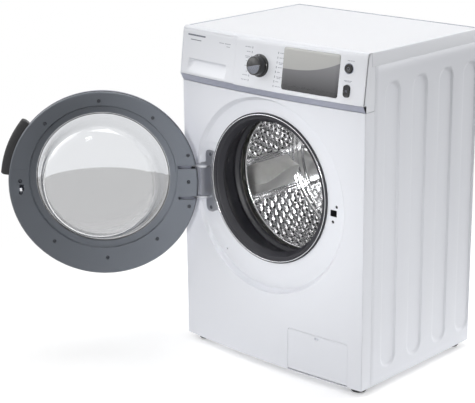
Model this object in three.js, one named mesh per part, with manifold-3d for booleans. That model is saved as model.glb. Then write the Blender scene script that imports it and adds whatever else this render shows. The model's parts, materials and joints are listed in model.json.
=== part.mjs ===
// Front-loading washing machine with its door standing open.
// Millimetres, +Z up, front towards -Y. The origin is on the floor under the middle of the cabinet.
import * as THREE from "three";
import { mergeVertices } from "three/addons/utils/BufferGeometryUtils.js";
import Module from "manifold-3d";

const wasm = await Module();
wasm.setup();

// ---- driving dimensions -------------------------------------------------------------------
const WIDTH = 595;
const HEIGHT = 850;
const SIDE_DEPTH = 455; // front corner to rear cover
const BOW = 15; // how far the front bulges forward at its middle
const SHEET = 2; // panel thickness
const GAP = 0.4; // shut line between neighbouring pieces
const FLOOR_CLEARANCE = 15; // underside of the base above the floor
const HALF = WIDTH / 2;
const FRONT = -SIDE_DEPTH / 2; // every depth below is measured back from the front corners
const SIDES = 36; // facets round the large turned pieces

const PANEL_TOP = 711; // top of the front panel
const STRIP_TOP = 729; // top of the silver strip under the fascia
const SKIRT_BOTTOM = 817; // underside of the worktop's skirt
const CHEEK_DEPTH = 34; // the front panel and the fascia wrap this far round each side

const AXIS_X = -6; // port, gasket, drum and the glasses of the door share one axis
const AXIS_Z = 474;
const DISC_Z = 457; // middle of the round door and of its dish, a little below that axis
const DISH_RADIUS = 248.5;
const DISH_FLOOR = 3;
const PORT_RADIUS = 186;

const DOOR_RADIUS = 242;
const DOOR_FACE = -3; // inner face of the closed door
const DOOR_OPEN_ANGLE = THREE.MathUtils.degToRad(135.2);
const PIN_X = -239;
const PIN_Y = -24;
const WINDOW_EDGE = 177; // opening of the door's outer ring, round the window
const ARM_RISE = 41; // hinge arms above and below the door's middle
const KNUCKLE_HALF_HEIGHT = 36;
const SLOT_HALF_HEIGHT = 4.5;
const LATCH_X = 203;
const LATCH_Z = 452;

const DRUM_RADIUS = 238;
const DRUM_FRONT = 112;
const DRUM_BACK = 380;
const LIFTER_ANGLES = [195, 75, -45];
const TUB_RADIUS = 258;
const TUB_SPLIT = 220;
const PULLEY_RADIUS = 135;
const PULLEY_Y = [428, 440];
const MOTOR_Z = 118;
const MOTOR_PULLEY_RADIUS = 11;

const DRAWER_SEAM = -98; // right edge of the drawer front
const DRAWER = { x: [-272, -112], y: [16, 300], z: [742, 800] };
const KNOB = { x: -14, z: 786, radius: 28, height: 25 };
const POWER_BUTTON = { x: 250, z: 811, radius: 11 };
const START_BUTTON = { x: 249.5, z: 759, width: 18, height: 29 };
const DISPLAY = { x: [58, 225], z: [739, 840] };
const FLAP = { x: [72, 256], z: [22, 130] };
const FILTER = { x: 164, z: 78 };
const FOOT = { x: 262, y: [35, 425], radius: 20 };

// ---- materials ----------------------------------------------------------------------------
const paint = (color, roughness, metalness = 0) =>
  new THREE.MeshStandardMaterial({ color, roughness, metalness });
const LOOK = {
  enamel: () => paint(0xe6e8ee, 0.35),
  whitePlastic: () => paint(0xeceef3, 0.3),
  silverPlastic: () => paint(0xb0b3c0, 0.4, 0.2),
  greyPlastic: () => paint(0x6d727b, 0.45),
  darkGlass: () => paint(0x3c3e44, 0.1),
  clearGlass: () => paint(0xdfe3e8, 0.05),
  blackPlastic: () => paint(0x141518, 0.35),
  rubber: () => paint(0x2d2f38, 0.6),
  steel: () => paint(0xc9ccd0, 0.25, 1),
  zinc: () => paint(0x9a9ca0, 0.45, 1),
  castIron: () => paint(0x8a8a86, 0.9),
  tubPlastic: () => paint(0xcfcfc8, 0.6),
  board: () => paint(0x2f6b3c, 0.6),
};

// ---- shape helpers ------------------------------------------------------------------------
// A closed mesh as a manifold-3d solid, turned right side out if its profile ran the other way.
function solid(geometry) {
  const bare = geometry.index ? geometry.toNonIndexed() : geometry.clone();
  bare.deleteAttribute("normal");
  bare.deleteAttribute("uv");
  const merged = mergeVertices(bare, 1e-4);
  const corners = Array.from(merged.index.array);
  const faces = [];
  for (let i = 0; i < corners.length; i += 3) {
    const [a, b, c] = corners.slice(i, i + 3);
    if (a !== b && b !== c && c !== a) faces.push([a, b, c]);
  }
  const build = (list) =>
    new wasm.Manifold(
      new wasm.Mesh({
        numProp: 3,
        vertProperties: merged.attributes.position.array,
        triVerts: new Uint32Array(list.flat()),
      }),
    );
  const made = build(faces);
  return made.volume() > 0 ? made : build(faces.map(([a, b, c]) => [a, c, b]));
}

const join = (first, ...rest) => rest.reduce((a, b) => a.add(b), first);
const cut = (first, ...rest) => rest.reduce((a, b) => a.subtract(b), first);

function box([x0, x1], [y0, y1], [z0, z1]) {
  const g = new THREE.BoxGeometry(x1 - x0, y1 - y0, z1 - z0);
  return solid(g.translate((x0 + x1) / 2, (y0 + y1) / 2 + FRONT, (z0 + z1) / 2));
}

// Turned about a line along Y; the profile is [radius, depth] pairs and closes on itself off the axis.
function turnedY(profile, segments = SIDES, x = AXIS_X, z = AXIS_Z) {
  const closed = profile[0][0] > 0 ? [...profile, profile[0]] : profile;
  const points = closed.map(([r, y]) => new THREE.Vector2(r, y + FRONT));
  return solid(new THREE.LatheGeometry(points, segments).translate(x, 0, z));
}

// Turned about an upright line; the profile is [radius, height] pairs from axis to axis.
function turnedZ(profile, segments, x, y) {
  const points = profile.map(([r, z]) => new THREE.Vector2(r, z));
  const g = new THREE.LatheGeometry(points, segments).rotateX(Math.PI / 2);
  return solid(g.translate(x, y + FRONT, 0));
}

function rodY(radius, [y0, y1], x, z, segments = 24) {
  return turnedY([[0, y0], [radius, y0], [radius, y1], [0, y1]], segments, x, z);
}

// Turned about the middle of the round door instead of the drum's axis.
const turnedOnDisc = (profile, segments = SIDES) => turnedY(profile, segments, AXIS_X, DISC_Z);

// A straight round bar between two points [x, depth, z].
function bar(radius, from, to, segments = 12) {
  const a = new THREE.Vector3(from[0], from[1] + FRONT, from[2]);
  const b = new THREE.Vector3(to[0], to[1] + FRONT, to[2]);
  const g = new THREE.CylinderGeometry(radius, radius, a.distanceTo(b), segments);
  const along = b.clone().sub(a).normalize();
  g.applyQuaternion(new THREE.Quaternion().setFromUnitVectors(new THREE.Vector3(0, 1, 0), along));
  return solid(g.translate(...a.add(b).multiplyScalar(0.5).toArray()));
}

function outline(points) {
  return new THREE.Shape(points.map(([a, b]) => new THREE.Vector2(a, b)));
}

// A rounded rectangle about a centre; a radius of half its width makes a stadium.
function roundedRect(cx, cy, width, height, radius, arc = 4) {
  const [w, h] = [width / 2 - radius, height / 2 - radius];
  const points = [[w, h], [-w, h], [-w, -h], [w, -h]].flatMap(([sx, sy], quarter) =>
    Array.from({ length: arc + 1 }, (_, i) => {
      const a = ((quarter + i / arc) * Math.PI) / 2;
      return [cx + sx + radius * Math.cos(a), cy + sy + radius * Math.sin(a)];
    }),
  );
  return outline(points.filter(([a, b], i) => {
    const [c, d] = points[(i + 1) % points.length];
    return Math.hypot(a - c, b - d) > 1e-6;
  }));
}

function extrude(shape, depth, steps = 1, curveSegments = 8) {
  return new THREE.ExtrudeGeometry(shape, { depth, steps, curveSegments, bevelEnabled: false });
}

// A shape drawn in X and Z, running from one depth to another.
function prismY(shape, [y0, y1], curveSegments) {
  const g = extrude(shape, y1 - y0, 1, curveSegments);
  return solid(g.rotateX(Math.PI / 2).translate(0, y1 + FRONT, 0));
}

// A shape drawn in X and depth, running from one height to another.
function prismZ(shape, [z0, z1]) {
  return solid(extrude(shape, z1 - z0).translate(0, FRONT, z0));
}

// A shape drawn in depth and Z, running along X.
function prismX(shape, [x0, x1]) {
  const g = extrude(shape, x1 - x0);
  const turn = new THREE.Matrix4().makeBasis(
    new THREE.Vector3(0, 1, 0), new THREE.Vector3(0, 0, 1), new THREE.Vector3(1, 0, 0),
  );
  return solid(g.applyMatrix4(turn).translate(x0, FRONT, 0));
}

// How far forward the bowed front stands at x, seen from above.
const bow = (x) => -BOW * (1 - (x / HALF) ** 2);

// A side profile of [depth, height] pairs run along X and bent to the bow of the front.
// What lies deeper than straightFrom keeps its depth.
function bowed(profile, [x0, x1], steps = 10, straightFrom = Infinity) {
  const g = extrude(outline(profile), x1 - x0, steps);
  const p = g.attributes.position;
  for (let i = 0; i < p.count; i++) {
    const [x, depth] = [x0 + p.getZ(i), p.getX(i)];
    p.setXYZ(i, x, depth + (depth < straightFrom ? bow(x) : 0) + FRONT, p.getY(i));
  }
  return solid(g);
}

// The leaning face of the fascia: its depth at a height, before the bow is added.
const LEAN = (5.9 + 9.5) / (843.4 - STRIP_TOP);
const leaning = (z) => -9.5 + (z - STRIP_TOP) * LEAN;

// A profile turned about the normal of the fascia at x, z: [radius, height above the face] pairs.
function onFascia(geometry, x, z) {
  const up = new THREE.Vector3(0, -1, LEAN).normalize();
  geometry.applyQuaternion(new THREE.Quaternion().setFromUnitVectors(new THREE.Vector3(0, 0, 1), up));
  return solid(geometry.translate(x, leaning(z) + bow(x) + FRONT, z));
}

function turnedOnFascia(profile, segments, x, z) {
  const points = profile.map(([r, h]) => new THREE.Vector2(r, h));
  return onFascia(new THREE.LatheGeometry(points, segments).rotateX(Math.PI / 2), x, z);
}

// ---- the scene graph ----------------------------------------------------------------------
const machine = new THREE.Group();

function piece(name, shape, material, parent = machine) {
  const { vertProperties, triVerts, numProp, numVert } = shape.getMesh();
  const positions = new Float32Array(numVert * 3);
  for (let i = 0; i < numVert; i++) {
    positions.set(vertProperties.subarray(i * numProp, i * numProp + 3), i * 3);
  }
  const geometry = new THREE.BufferGeometry();
  geometry.setAttribute("position", new THREE.BufferAttribute(positions, 3));
  geometry.setIndex(new THREE.BufferAttribute(new Uint32Array(triVerts), 1));
  geometry.computeVertexNormals();
  const mesh = new THREE.Mesh(geometry, material());
  mesh.name = name;
  parent.add(mesh);
  return mesh;
}

// ---- cabinet ------------------------------------------------------------------------------
// A sheet with four tall stadiums pressed inwards, each keeping the sheet's thickness.
function sidePanel(side) {
  const pressed = 4;
  const x = (a, b) => (side > 0 ? [HALF - b, HALF - a] : [-HALF + a, -HALF + b]);
  const centres = [103.5, 210.5, 316.5, 419];
  const stadiums = (grow, span) =>
    centres.map((y) => prismX(roundedRect(y, 411.5, 61 + grow, 723 + grow, (61 + grow) / 2), span));
  const sheet = box(x(0, SHEET), [CHEEK_DEPTH + GAP, 450.7], [17, SKIRT_BOTTOM - GAP]);
  const backs = stadiums(0, x(SHEET / 2, pressed + SHEET));
  return cut(join(sheet, ...backs), ...stadiums(-2 * SHEET, x(-1, pressed)));
}

function baseTray() {
  const half = HALF - 4;
  const tray = box([-half, half], [6, 450.5], [FLOOR_CLEARANCE, 30]);
  const hollow = box([-half + SHEET, half - SHEET], [8, 448.5], [FLOOR_CLEARANCE + SHEET, 31]);
  const holes = [-FOOT.x, FOOT.x].flatMap((x) =>
    FOOT.y.map((y) => bar(5.6, [x, y, 10], [x, y, 35], 16)),
  );
  return cut(tray, hollow, ...holes);
}

function rearPanel() {
  const half = HALF - 4;
  return cut(
    box([-half, half], [451, 453], [17, SKIRT_BOTTOM - GAP]),
    rodY(150, [440, 460], AXIS_X, 440, 32),
    rodY(13, [440, 460], 180, 786, 16),
    rodY(8, [440, 460], -230, 780, 16),
  );
}

function frontPanel() {
  const [z0, z1] = [17, PANEL_TOP];
  const face = bowed([[0, z0], [SHEET, z0], [SHEET, z1], [0, z1]], [-HALF, HALF], 14);
  const returns = [-1, 1].map((s) =>
    box([Math.min(s * HALF, s * (HALF - SHEET)), Math.max(s * HALF, s * (HALF - SHEET))],
      [0.2, CHEEK_DEPTH], [z0, z1]),
  );
  const inFront = bowed([[-60, 0], [0, 0], [0, 900], [-60, 900]], [-HALF, HALF], 14);
  const dish = cut(
    turnedOnDisc(
      [
        [0, DISH_FLOOR], [243, DISH_FLOOR], [247, 0], [DISH_RADIUS, -4], [DISH_RADIUS, -30],
        [251, -30], [251, DISH_FLOOR + SHEET], [0, DISH_FLOOR + SHEET],
      ],
      48,
    ),
    inFront,
  );
  const shell = cut(join(face, ...returns), rodY(DISH_RADIUS + 0.5, [-40, 30], AXIS_X, DISC_Z, 48));
  return cut(
    join(shell, dish),
    rodY(PORT_RADIUS, [-5, 30], AXIS_X, AXIS_Z, 48),
    box([LATCH_X - 10, LATCH_X + 10], [-5, 12], [LATCH_Z - 8.5, LATCH_Z + 8]),
    box([FLAP.x[0] - 0.4, FLAP.x[1] + 0.4], [-30, 20], [FLAP.z[0] - 1.5, FLAP.z[1] + 0.4]),
  );
}

function worktop() {
  return cut(
    box([-HALF, HALF], [22, SIDE_DEPTH], [SKIRT_BOTTOM, HEIGHT]),
    box([-HALF + 3, HALF - 3], [25, SIDE_DEPTH - 3], [SKIRT_BOTTOM - 1, HEIGHT - 4]),
  );
}

function foot(x, y) {
  return turnedZ(
    [[0, 0], [FOOT.radius - 2, 0], [FOOT.radius, 3], [FOOT.radius, 9], [9, 12], [5, 12], [5, 46], [0, 46]],
    14, x, y,
  );
}

piece("base_tray", baseTray(), LOOK.zinc);
piece("side_panel_left", sidePanel(-1), LOOK.enamel);
piece("side_panel_right", sidePanel(1), LOOK.enamel);
piece("rear_panel", rearPanel(), LOOK.enamel);
piece("rear_service_cover", rodY(165, [453.3, SIDE_DEPTH], AXIS_X, 440, 32), LOOK.enamel);
piece("front_panel", frontPanel(), LOOK.enamel);
piece("worktop", worktop(), LOOK.whitePlastic);
for (const [end, y] of [["front", FOOT.y[0]], ["rear", FOOT.y[1]]]) {
  piece("foot_" + end + "_left", foot(-FOOT.x, y), LOOK.blackPlastic);
  piece("foot_" + end + "_right", foot(FOOT.x, y), LOOK.blackPlastic);
}

// ---- control fascia -----------------------------------------------------------------------
const stadiumButton = (grow) =>
  roundedRect(0, 0, START_BUTTON.width + grow, START_BUTTON.height + grow, (START_BUTTON.width + grow) / 2);

// A face plate between two heights, standing off the leaning face by [outside, inside].
function facePlate([z0, z1], [outside, inside]) {
  return [
    [leaning(z0) + outside, z0], [leaning(z1) + outside, z1],
    [leaning(z1) + inside, z1], [leaning(z0) + inside, z0],
  ];
}

function controlFascia() {
  const wallTop = 843.4;
  const cheek = [
    [-9.5, STRIP_TOP], [leaning(843.2), 843.2], [9.5, 847.5], [16, HEIGHT], [21.7, HEIGHT],
    [21.7, SKIRT_BOTTOM - GAP], [CHEEK_DEPTH - GAP, SKIRT_BOTTOM - GAP],
    [CHEEK_DEPTH - GAP, PANEL_TOP + 1], [3.4, PANEL_TOP + 1], [3.4, STRIP_TOP],
  ];
  const rib = [
    [-8, STRIP_TOP], [leaning(wallTop) + 1, wallTop], [21.7, wallTop], [21.7, SKIRT_BOTTOM - 1],
    [33, SKIRT_BOTTOM - 1], [33, 713], [16, 713], [4, STRIP_TOP],
  ];
  const topBar = [[6, 843.2], [9.5, 847.5], [16, HEIGHT], [21.7, HEIGHT], [21.7, 843.2]];
  const body = join(
    bowed(facePlate([STRIP_TOP, wallTop], [0, 3]), [DRAWER_SEAM + 0.5, HALF], 12),
    bowed(topBar, [-HALF, HALF], 12, 20),
    bowed(cheek, [HALF - 3, HALF], 1),
    bowed(cheek, [-HALF, -HALF + 3], 1),
    bowed(rib, [DRAWER_SEAM + 0.5, DRAWER_SEAM + 3], 1),
    box([-HALF + 2, HALF - 2], [9, 33], [713, 717]),
  );
  return cut(
    body,
    turnedOnFascia([[0, -20], [6, -20], [6, 10], [0, 10]], 20, KNOB.x, KNOB.z),
    turnedOnFascia(
      [[0, -20], [POWER_BUTTON.radius + 0.5, -20], [POWER_BUTTON.radius + 0.5, 10], [0, 10]],
      24, POWER_BUTTON.x, POWER_BUTTON.z,
    ),
    onFascia(extrude(stadiumButton(1), 30).translate(0, 0, -20), START_BUTTON.x, START_BUTTON.z),
    bowed([[-30, DISPLAY.z[0]], [-30, DISPLAY.z[1]], [20, DISPLAY.z[1]], [20, DISPLAY.z[0]]], DISPLAY.x, 6),
  );
}

function programKnob() {
  const r = KNOB.radius;
  return turnedOnFascia(
    [[0, -12], [5.5, -12], [5.5, 1], [r, 1], [r, 6], [r - 4, 8], [r - 5, KNOB.height - 1],
      [r - 6, KNOB.height], [0, KNOB.height]],
    32, KNOB.x, KNOB.z,
  );
}

piece("control_fascia", controlFascia(), LOOK.whitePlastic);
piece(
  "fascia_trim_strip",
  bowed([[-9.3, 728.6], [-0.3, 712], [3, 712], [3, 728.6]], [DRAWER_SEAM + 0.5, HALF], 12),
  LOOK.silverPlastic,
);
piece(
  "display_window",
  bowed(facePlate([DISPLAY.z[0] + GAP, DISPLAY.z[1] - GAP], [-0.6, 2.4]),
    [DISPLAY.x[0] + GAP, DISPLAY.x[1] - GAP], 6),
  LOOK.darkGlass,
);
piece("control_board", box([62, 280], [20, 23], [736, 812]), LOOK.board);
piece("program_knob", programKnob(), LOOK.blackPlastic);
piece(
  "power_button",
  turnedOnFascia(
    [[0, -8], [POWER_BUTTON.radius, -8], [POWER_BUTTON.radius, 2.5], [POWER_BUTTON.radius - 1.5, 4], [0, 4]],
    24, POWER_BUTTON.x, POWER_BUTTON.z,
  ),
  LOOK.blackPlastic,
);
piece(
  "start_button",
  onFascia(extrude(stadiumButton(0), 12).translate(0, 0, -8), START_BUTTON.x, START_BUTTON.z),
  LOOK.blackPlastic,
);

// ---- detergent drawer ---------------------------------------------------------------------
function drawerFront() {
  const span = [-HALF + 3.3, DRAWER_SEAM];
  const wall = bowed(facePlate([STRIP_TOP, 842.7], [0, 3]), span, 8);
  const strip = bowed([[-9.5, 729.2], [-0.3, 712], [3, 712], [3, 729.2]], span, 8);
  const inFront = bowed(
    [[-60, 700], [-9.5, 700], [-9.5, STRIP_TOP], [leaning(850), 850], [-60, 850]], span, 8,
  );
  const pocket = cut(box([-272, -124], [-10, 15.6], [735, 776]), inFront);
  return cut(join(wall, strip, pocket), box([-268, -128], [-40, 12.5], [738, 772]));
}

function detergentDrawer() {
  const { x, y, z } = DRAWER;
  const wall = 2.5;
  const compartments = [[-269, -216], [-213.5, -166], [-163.5, -114.5]];
  return cut(
    box(x, y, z),
    ...compartments.map((c) => box(c, [y[0] + wall, y[1] - wall], [z[0] + wall, z[1] + 1])),
  );
}

piece("drawer_front", drawerFront(), LOOK.whitePlastic);
piece("detergent_drawer", detergentDrawer(), LOOK.whitePlastic);
piece("siphon_cap", box([-213, -166.5], [238, 297], [770, 803]), LOOK.greyPlastic);
piece(
  "drawer_housing",
  cut(box([-278, -106], [36, 310], [734, 812]), box([-275, -109], [30, 307], [738, 808])),
  LOOK.whitePlastic,
);

// ---- door port: gasket, hinge bracket and lock --------------------------------------------
function doorGasket() {
  return turnedY(
    [
      [191.5, 2.6], [191.5, -1], [190, -2.6], [184, -2.6], [181, 0.5], [175.5, 0.5], [166, 16], [167, 21],
      [177, 28], [182.5, 44], [181.5, 97], [186.4, 97], [187.5, 44], [185.4, 28], [185.4, 2.6],
    ],
  );
}

// The bore of the hinge pin, through the arms and the door's knuckle.
const pinHole = () => bar(2.8, [PIN_X, PIN_Y, DISC_Z - 70], [PIN_X, PIN_Y, DISC_Z + 70], 16);

// The bracket's plate and its two swan-neck arms, which stay with the cabinet.
function hingeBracket() {
  const arm = outline([
    [-203, 1], [-204, -13], [-212, -24], [-226, -29], [-239, -30], [-243.2, -28.2], [-245, -24],
    [-243.2, -19.8], [-239, -18.5], [-229, -18.5], [-219, -13.5], [-213, -7], [-213, 1],
  ]);
  const arms = [-ARM_RISE, ARM_RISE].map((dz) =>
    prismZ(arm, [DISC_Z + dz - 3, DISC_Z + dz + 3]),
  );
  const ears = [[-82, -70], [70, 82]].map(([low, high]) =>
    box([-218, -192.5], [0.2, 2.7], [DISC_Z + low, DISC_Z + high]),
  );
  const plate = box([-218, -200], [0.2, 2.7], [DISC_Z - 82, DISC_Z + 82]);
  return cut(join(plate, ...ears, ...arms), pinHole());
}

function doorLock() {
  return cut(
    box([LATCH_X - 16, LATCH_X + 16], [5.3, 32], [LATCH_Z - 22, LATCH_Z + 22]),
    box([LATCH_X - 10, LATCH_X + 10], [0, 26], [LATCH_Z - 12, LATCH_Z + 10]),
  );
}

piece("door_gasket", doorGasket(), LOOK.rubber);
const wire = Array.from({ length: 4 }, (_, i) => {
  const a = (i * Math.PI) / 2;
  return [186.6 + Math.cos(a), -4 + Math.sin(a)];
});
piece("gasket_clamp_ring", turnedY(wire), LOOK.steel);
piece("hinge_bracket", hingeBracket(), LOOK.zinc);
piece("door_lock", doorLock(), LOOK.blackPlastic);

// ---- door, drawn closed and then swung open about its pin ----------------------------------
const door = new THREE.Group();
door.position.set(PIN_X, PIN_Y + FRONT, 0);
door.rotation.z = -DOOR_OPEN_ANGLE;
const doorParts = new THREE.Group();
doorParts.position.copy(door.position).negate();
door.add(doorParts);
machine.add(door);

const hingeSlots = [-ARM_RISE, ARM_RISE].map((dz) =>
  box([-262, -197], [PIN_Y - 6.5, 5], [DISC_Z + dz - SLOT_HALF_HEIGHT, DISC_Z + dz + SLOT_HALF_HEIGHT]),
);

// The block between the hinge arms that turns on the pin; the outer ring is cut a little wider.
const knuckle = (room) =>
  box([-241.2 - room, -229 + room], [-28 - room, -4],
    [DISC_Z - KNUCKLE_HALF_HEIGHT - 2 * room, DISC_Z + KNUCKLE_HALF_HEIGHT + 2 * room]);

function doorOuterRing() {
  const disc = turnedOnDisc([
    [DOOR_RADIUS, -14.3], [DOOR_RADIUS, -26], [231, -38], [208, -42.5], [150, -43], [150, -40],
    [208, -39.5], [228, -35], [238.6, -25], [238.6, -14.3],
  ]);
  const lip = turnedY([
    [WINDOW_EDGE, -42.5], [WINDOW_EDGE + 4, -42.5], [WINDOW_EDGE + 4, -36], [WINDOW_EDGE, -36],
  ]);
  const opened = cut(disc, rodY(WINDOW_EDGE, [-60, 0], AXIS_X, AXIS_Z, SIDES));
  return cut(join(opened, lip), ...hingeSlots, knuckle(GAP));
}

function doorInnerRing() {
  const disc = turnedOnDisc([
    [DOOR_RADIUS, -5.5], [239, DOOR_FACE], [150, DOOR_FACE], [150, -6], [237.5, -6], [239, -7.5],
    [239, -14], [DOOR_RADIUS, -14],
  ]);
  const step = turnedY([
    [192, DOOR_FACE], [189.2, DOOR_FACE], [188, -8], [170.5, -8], [170.5, -11], [189.5, -11], [192, -6],
  ]);
  const opened = cut(disc, rodY(190, [-60, 30], AXIS_X, AXIS_Z, SIDES));
  const latchHole = box([LATCH_X - 5, LATCH_X + 5], [-20, 5], [LATCH_Z - 9, LATCH_Z + 8]);
  return cut(join(opened, step, knuckle(0)), ...hingeSlots, pinHole(), latchHole);
}

// The glass bowl leans away from the hinge so that it clears the gasket as it swings.
function doorBowl() {
  const closed = [
    [0, 72], [126, 67], [141, 58], [150, 35], [157, 10], [163.5, -8], [167.5, -11.4], [184, -11.4],
    [184, -14.4], [161, -14.4], [152.5, 10], [146, 34], [137, 55], [124, 63], [0, 68],
  ];
  const g = new THREE.LatheGeometry(closed.map(([r, y]) => new THREE.Vector2(r, y)), SIDES);
  const p = g.attributes.position;
  for (let i = 0; i < p.count; i++) {
    const rise = THREE.MathUtils.clamp((p.getY(i) + 8) / 68, 0, 1);
    p.setX(i, p.getX(i) + 7 * rise);
  }
  return solid(g.translate(AXIS_X, FRONT, AXIS_Z));
}

function doorHandle() {
  const [from, to] = [6, 41].map(THREE.MathUtils.degToRad);
  const shape = new THREE.Shape();
  shape.absarc(AXIS_X, DISC_Z, 264, from, to, false);
  shape.absarc(AXIS_X, DISC_Z, DOOR_RADIUS + GAP, to, from, true);
  return prismY(shape, [-37, -13]);
}

function latchHook() {
  const hook = outline([
    [-14, -4], [8, -4], [8, -7], [11, -7], [14, -4], [14, 3], [-14, 3],
  ].map(([y, z]) => [y, z + LATCH_Z]));
  return prismX(hook, [LATCH_X - 3, LATCH_X + 3]);
}

piece("door_outer_ring", doorOuterRing(), LOOK.whitePlastic, doorParts);
piece(
  "door_outer_window",
  turnedY([
    [0, -41], [100, -40], [WINDOW_EDGE - 0.5, -36.2], [WINDOW_EDGE - 0.5, -33.4],
    [100, -37.2], [0, -38.2],
  ]),
  LOOK.clearGlass, doorParts,
);
piece("door_inner_ring", doorInnerRing(), LOOK.greyPlastic, doorParts);
piece("door_glass_bowl", doorBowl(), LOOK.clearGlass, doorParts);
piece("door_handle", doorHandle(), LOOK.blackPlastic, doorParts);
piece("latch_hook", latchHook(), LOOK.zinc, doorParts);
piece(
  "door_hinge_pin",
  bar(2.5, [PIN_X, PIN_Y, DISC_Z - 45], [PIN_X, PIN_Y, DISC_Z + 45], 16),
  LOOK.steel, doorParts,
);

// ---- tub and its hangings -----------------------------------------------------------------
function helix(x, y, [z0, z1], radius, turns) {
  class Helix extends THREE.Curve {
    getPoint(t, target = new THREE.Vector3()) {
      const a = t * turns * 2 * Math.PI;
      return target.set(x + radius * Math.cos(a), y + FRONT + radius * Math.sin(a), z0 + t * (z1 - z0));
    }
  }
  const wireSection = new THREE.Shape().absarc(0, 0, 2, 0, 2 * Math.PI);
  const options = { steps: turns * 7, extrudePath: new Helix(), bevelEnabled: false, curveSegments: 3 };
  return solid(new THREE.ExtrudeGeometry(wireSection, options));
}

function frontCounterweight() {
  const [from, to] = [200, 340].map(THREE.MathUtils.degToRad);
  const shape = new THREE.Shape();
  shape.absarc(AXIS_X, AXIS_Z, 252, from, to, false);
  shape.absarc(AXIS_X, AXIS_Z, 198, to, from, true);
  return prismY(shape, [60, 99]);
}

piece(
  "tub_front",
  turnedY([
    [TUB_RADIUS, TUB_SPLIT - 0.3], [TUB_RADIUS, 106], [254, 102], [192, 100], [192, 90], [187.2, 90],
    [187.2, 104], [250, 106.5], [254, 110], [254, TUB_SPLIT - 0.3],
  ]),
  LOOK.tubPlastic,
);
piece(
  "tub_rear",
  turnedY([
    [TUB_RADIUS, TUB_SPLIT], [TUB_RADIUS, 398], [60, 404], [36, 404], [36, 426], [26.6, 426],
    [26.6, 398.5], [60, 398.5], [254, 392], [254, TUB_SPLIT],
  ]),
  LOOK.tubPlastic,
);
piece("front_counterweight", frontCounterweight(), LOOK.castIron);
piece("top_counterweight", box([-60, 180], [130, 330], [735.5, 765.5]), LOOK.castIron);
for (const [name, x] of [["left", -212], ["right", 200]]) {
  piece("suspension_spring_" + name, helix(x, 345, [664, 790], 11, 6), LOOK.steel);
}
for (const [name, side] of [["left", -1], ["right", 1]]) {
  const at = (x, z) => [AXIS_X + side * x, 250, z];
  piece("damper_tube_" + name, bar(13, at(122, 32), at(138, 140), 14), LOOK.blackPlastic);
  piece("damper_rod_" + name, bar(6, at(138.1, 140.8), at(151, 250), 10), LOOK.steel);
}

// ---- drum and its drive --------------------------------------------------------------------
function drumShell() {
  const r = DRUM_RADIUS;
  return turnedY([
    [0, DRUM_BACK], [r, DRUM_BACK - 8], [r, 127], [182, 117.5], [179, 115], [180, DRUM_FRONT],
    [184, DRUM_FRONT + 2], [r + 1, 124.5], [r + 1.5, DRUM_BACK - 7], [0, DRUM_BACK + 1.6],
  ]);
}

function lifter() {
  const section = outline([
    [-40, 231], [-24, 206], [-11, 184], [0, 179], [11, 184], [24, 206], [40, 231], [0, 235.5],
  ]);
  return solid(extrude(section, 200).rotateX(Math.PI / 2).translate(0, 345 + FRONT, 0));
}

function drumSpider() {
  const arms = [90, 210, 330].map((degrees) => {
    const g = new THREE.BoxGeometry(205, 8, 30).translate(118, 387 + FRONT, 0);
    return solid(g.rotateY(-THREE.MathUtils.degToRad(degrees)).translate(AXIS_X, 0, AXIS_Z));
  });
  return join(
    rodY(34, [384, 396], AXIS_X, AXIS_Z, 24),
    rodY(12.6, [390, 427.6], AXIS_X, AXIS_Z, 20),
    ...arms,
  );
}

// A belt round two pulleys: the outer tangent loop of two circles, a given distance off their rims.
function beltLoop(offset) {
  const [big, small] = [PULLEY_RADIUS + offset, MOTOR_PULLEY_RADIUS + offset];
  const lean = Math.asin((big - small) / (AXIS_Z - MOTOR_Z));
  const shape = new THREE.Shape();
  shape.absarc(AXIS_X, AXIS_Z, big, -lean, Math.PI + lean, false);
  shape.absarc(AXIS_X, MOTOR_Z, small, Math.PI + lean, 2 * Math.PI - lean, false);
  shape.closePath();
  return shape;
}

function driveBelt() {
  return cut(prismY(beltLoop(4), [431, 437], 14), prismY(beltLoop(1), [430, 438], 14));
}

piece("drum_shell", drumShell(), LOOK.steel);
LIFTER_ANGLES.forEach((degrees, i) => {
  const mesh = piece("drum_lifter_" + (i + 1), lifter(), LOOK.greyPlastic);
  mesh.rotation.y = THREE.MathUtils.degToRad(90 - degrees);
  mesh.position.set(AXIS_X, 0, AXIS_Z);
});
piece("drum_spider", drumSpider(), LOOK.zinc);
const bearing = (y) => turnedY([[13, y], [26.2, y], [26.2, y + 12], [13, y + 12]], 24);
piece("bearing_front", bearing(399), LOOK.steel);
piece("bearing_rear", bearing(413), LOOK.steel);
piece(
  "drum_pulley",
  turnedY([
    [0, PULLEY_Y[0]], [30, PULLEY_Y[0]], [34, 433], [PULLEY_RADIUS - 8, 433],
    [PULLEY_RADIUS - 6, PULLEY_Y[0]],
    [PULLEY_RADIUS, PULLEY_Y[0]], [PULLEY_RADIUS, PULLEY_Y[1]], [0, PULLEY_Y[1]],
  ]),
  LOOK.zinc,
);
piece("drive_belt", driveBelt(), LOOK.rubber);
piece("motor_housing", rodY(52, [285, 414], AXIS_X, MOTOR_Z, 28), LOOK.zinc);
piece(
  "motor_pulley",
  turnedY([
    [0, 414.5], [6, 414.5], [6, PULLEY_Y[0]], [MOTOR_PULLEY_RADIUS, PULLEY_Y[0]],
    [MOTOR_PULLEY_RADIUS, PULLEY_Y[1]], [0, PULLEY_Y[1]],
  ], 20, AXIS_X, MOTOR_Z),
  LOOK.steel,
);

// ---- water and drain ----------------------------------------------------------------------
function heatingElement() {
  const z = AXIS_Z - 247;
  const rods = [-22, 22].map((dx) => bar(4, [AXIS_X + dx, 150, z + 1.5], [AXIS_X + dx, 360, z + 1.5], 8));
  return join(...rods, bar(4, [AXIS_X - 22, 358, z + 1.5], [AXIS_X + 22, 358, z + 1.5], 8));
}

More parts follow.
